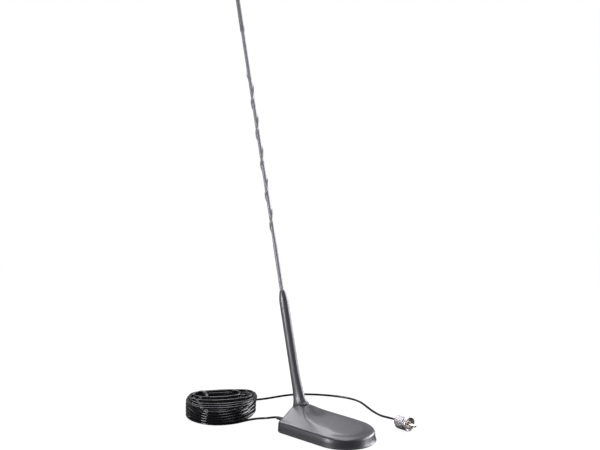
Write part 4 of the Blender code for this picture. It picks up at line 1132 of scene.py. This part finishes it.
def make_floor():
    """White paper that keeps the shadow under the antenna and turns to plain white farther out; in
    reflections it glows dimmer near the antenna, a painted shade.
    """
    bm = bmesh.new()
    bmesh.ops.create_grid(bm, x_segments=1, y_segments=1, size=floor_size)
    mesh = bpy.data.meshes.new("floor")
    bm.to_mesh(mesh)
    bm.free()
    paper = bpy.data.materials.new("white_paper")
    paper.use_nodes = True
    tree = paper.node_tree
    sheet = tree.nodes["Principled BSDF"]
    sheet.inputs["Base Color"].default_value = (0.8, 0.8, 0.8, 1)
    sheet.inputs["Roughness"].default_value = 0.9
    seen, mirrored = ray_kinds(tree)
    spot = node(tree, "ShaderNodeTexCoord").outputs["Object"]
    away = node(tree, "ShaderNodeVectorMath", {0: spot}, operation="LENGTH").outputs["Value"]
    white = times(tree, seen, ranged(tree, away, *floor_white_reach, *floor_whiteness))
    # Painted shade: reflected rays see the floor glow dimmer near the antenna.
    reflected_glow_with_painted_shade = times(tree, mirrored, ranged(tree, away, *floor_painted_shade_reach, *floor_mirrored_painted_shade))
    glow = node(tree, "ShaderNodeEmission", {"Strength": larger(tree, seen, reflected_glow_with_painted_shade)})
    fed = {0: larger(tree, white, mirrored), 1: sheet.outputs[0], 2: glow.outputs[0]}
    mix = node(tree, "ShaderNodeMixShader", fed)
    feed(tree, tree.nodes["Material Output"].inputs["Surface"], mix.outputs[0])
    mesh.materials.append(paper)
    floor = in_scene("floor", mesh)


def lamp(name, place, target, size, power):
    light = bpy.data.lights.new(name, "AREA")
    light.shape = "RECTANGLE"
    light.size, light.size_y = size
    light.energy = power
    light.color = cool_light
    made = in_scene(name, light)
    made.location = place
    made.rotation_euler = (Vector(target) - Vector(place)).to_track_quat("-Z", "Y").to_euler()


place_camera()
make_world()
make_floor()
lamp("left_lamp", (-0.34, -1.15, 0.22), (-0.06, 0, 0.14), (0.34, 0.44), 20)
lamp("rim_lamp", (0.30, 1.25, 0.45), (-0.05, 0, 0.16), (0.8, 0.9), 36)
lamp("top_lamp", (-0.72, 0.32, 0.80), (-0.02, 0, 0.02), (0.8, 0.6), 11)
lamp("over_lamp", (0.05, 0.02, 1.15), (0.03, 0, 0.02), (0.5, 0.4), 10)
lamp("side_lamp", (0.95, 0.80, 0.28), (-0.05, 0, 0.14), (0.5, 0.8), 20)

# Each finish: colour, roughness, metal and specular level; the scale and amount of its drift and grain;
# the amount and colour of its wear; the scale and amount of its scuffs; dust; and turning marks
finishes = {name: surface(name, *values) for name, *values in (
    ("grey_moulding", (0.012, 0.0124, 0.014), 0.36, 0, 0.5, (28, 0.1), (2200, 0.012),
     (0.14, (0.08, 0.08, 0.085)), (50, 0.22), 0.04),
    ("grey_boot_rubber", (0.022, 0.0225, 0.025), 0.36, 0, 0.5, (34, 0.12), (2600, 0.01),
     (0.25, (0.1, 0.1, 0.1)), (60, 0.2), 0.03),
    ("grey_sleeve", (0.075, 0.077, 0.083), 0.42, 0, 0.5, (60, 0.14), (1800, 0.014),
     (0.2, (0.12, 0.12, 0.12)), (80, 0.2), 0.02),
    ("grey_cap", (0.06, 0.061, 0.066), 0.44, 0, 0.5, (80, 0.12), (2400, 0.012), (0.3, (0.1, 0.1, 0.1)),
     (80, 0.2), 0.02),
    ("sole_rubber", (0.016, 0.016, 0.016), 0.72, 0, 0.3, (50, 0.16), (900, 0.05),
     (0.2, (0.05, 0.05, 0.05)), (40, 0.3), 0.12),
    ("black_rubber", (0.014, 0.014, 0.014), 0.5, 0, 0.35, (70, 0.14), (2000, 0.02),
     (0.2, (0.05, 0.05, 0.05)), (70, 0.2), 0.05),
    ("black_plastic", (0.008, 0.008, 0.0085), 0.42, 0, 0.35, (60, 0.12), (1500, 0.02),
     (0.2, (0.06, 0.06, 0.06)), (60, 0.2), 0.05),
    ("cable_jacket", (0.003, 0.003, 0.0034), 0.13, 0, 0.22, (50, 0.06), (900, 0.0015),
     (0, (0.03, 0.03, 0.03)), (90, 0.05), 0.004),
    ("nickel_plate", (0.38, 0.365, 0.37), 0.46, 1, 0.5, (120, 0.07), (3000, 0.004),
     (0.2, (0.85, 0.83, 0.8)), (160, 0.4), 0, (1500, 0.006)),
    ("pin_plate", (0.6, 0.565, 0.48), 0.36, 1, 0.5, (200, 0.08), (3000, 0.004), (0.3, (0.9, 0.86, 0.75)),
     (200, 0.4), 0, (1800, 0.006)),
    ("insulator_resin", (0.5, 0.43, 0.34), 0.42, 0, 0.5, (300, 0.14), (2500, 0.02),
     (0.3, (0.66, 0.6, 0.5)), (160, 0.3), 0.02),
    ("brass", (0.62, 0.45, 0.2), 0.3, 1, 0.5, (150, 0.1), (3000, 0.005), (0.4, (0.8, 0.66, 0.36)),
     (160, 0.4), 0),
    ("zinc_steel", (0.56, 0.57, 0.58), 0.34, 1, 0.5, (100, 0.12), (1800, 0.008),
     (0.4, (0.75, 0.75, 0.75)), (120, 0.4), 0.02),
    ("spring_steel", (0.42, 0.42, 0.43), 0.3, 1, 0.5, (100, 0.12), (2400, 0.006), (0.4, (0.6, 0.6, 0.6)),
     (140, 0.4), 0),
    ("ferrite", (0.045, 0.045, 0.05), 0.62, 0, 0.5, (120, 0.2), (1600, 0.03), (0.4, (0.1, 0.1, 0.1)),
     (80, 0.3), 0.05),
    ("enamelled_copper", (0.45, 0.16, 0.05), 0.25, 0.8, 0.5, (300, 0.15), (2400, 0.004),
     (0.2, (0.6, 0.3, 0.15)), (200, 0.2), 0),
    ("tinned_braid", (0.55, 0.54, 0.52), 0.35, 1, 0.5, (40, 0.1), (3000, 0.01), (0.3, (0.3, 0.3, 0.3)),
     (60, 0.15), 0.05))}
weave(finishes["tinned_braid"])

cord, cord_length = make_cord()
for make in (make_cover, make_pad, make_boot, make_stud, make_sleeve, make_cap, make_relief, make_tie,
             make_ring, make_plug):
    make()

# Solids that show as they are
dressed = {
    "black_plastic": ["base_plate"], "black_rubber": ["seat_washer"], "cable_jacket": ["inner_coax"],
    "brass": ["whip_ferrule"], "spring_steel": ["whip_rod", "plug_clip"], "ferrite": ["magnet_ring"],
    "enamelled_copper": ["whip_winding"], "tinned_braid": ["earth_strap"],
    "zinc_steel": ["magnet_cup", "cable_clamp", "stud_nut", "feed_tag", "magnet_screw", "clamp_screw_1",
                   "clamp_screw_2", *(f"base_screw_{i}" for i in range(1, 5))]}
for finish, names in dressed.items():
    for name in names:
        for slot in nodes[name].material_slots:
            slot.material = finishes[finish]
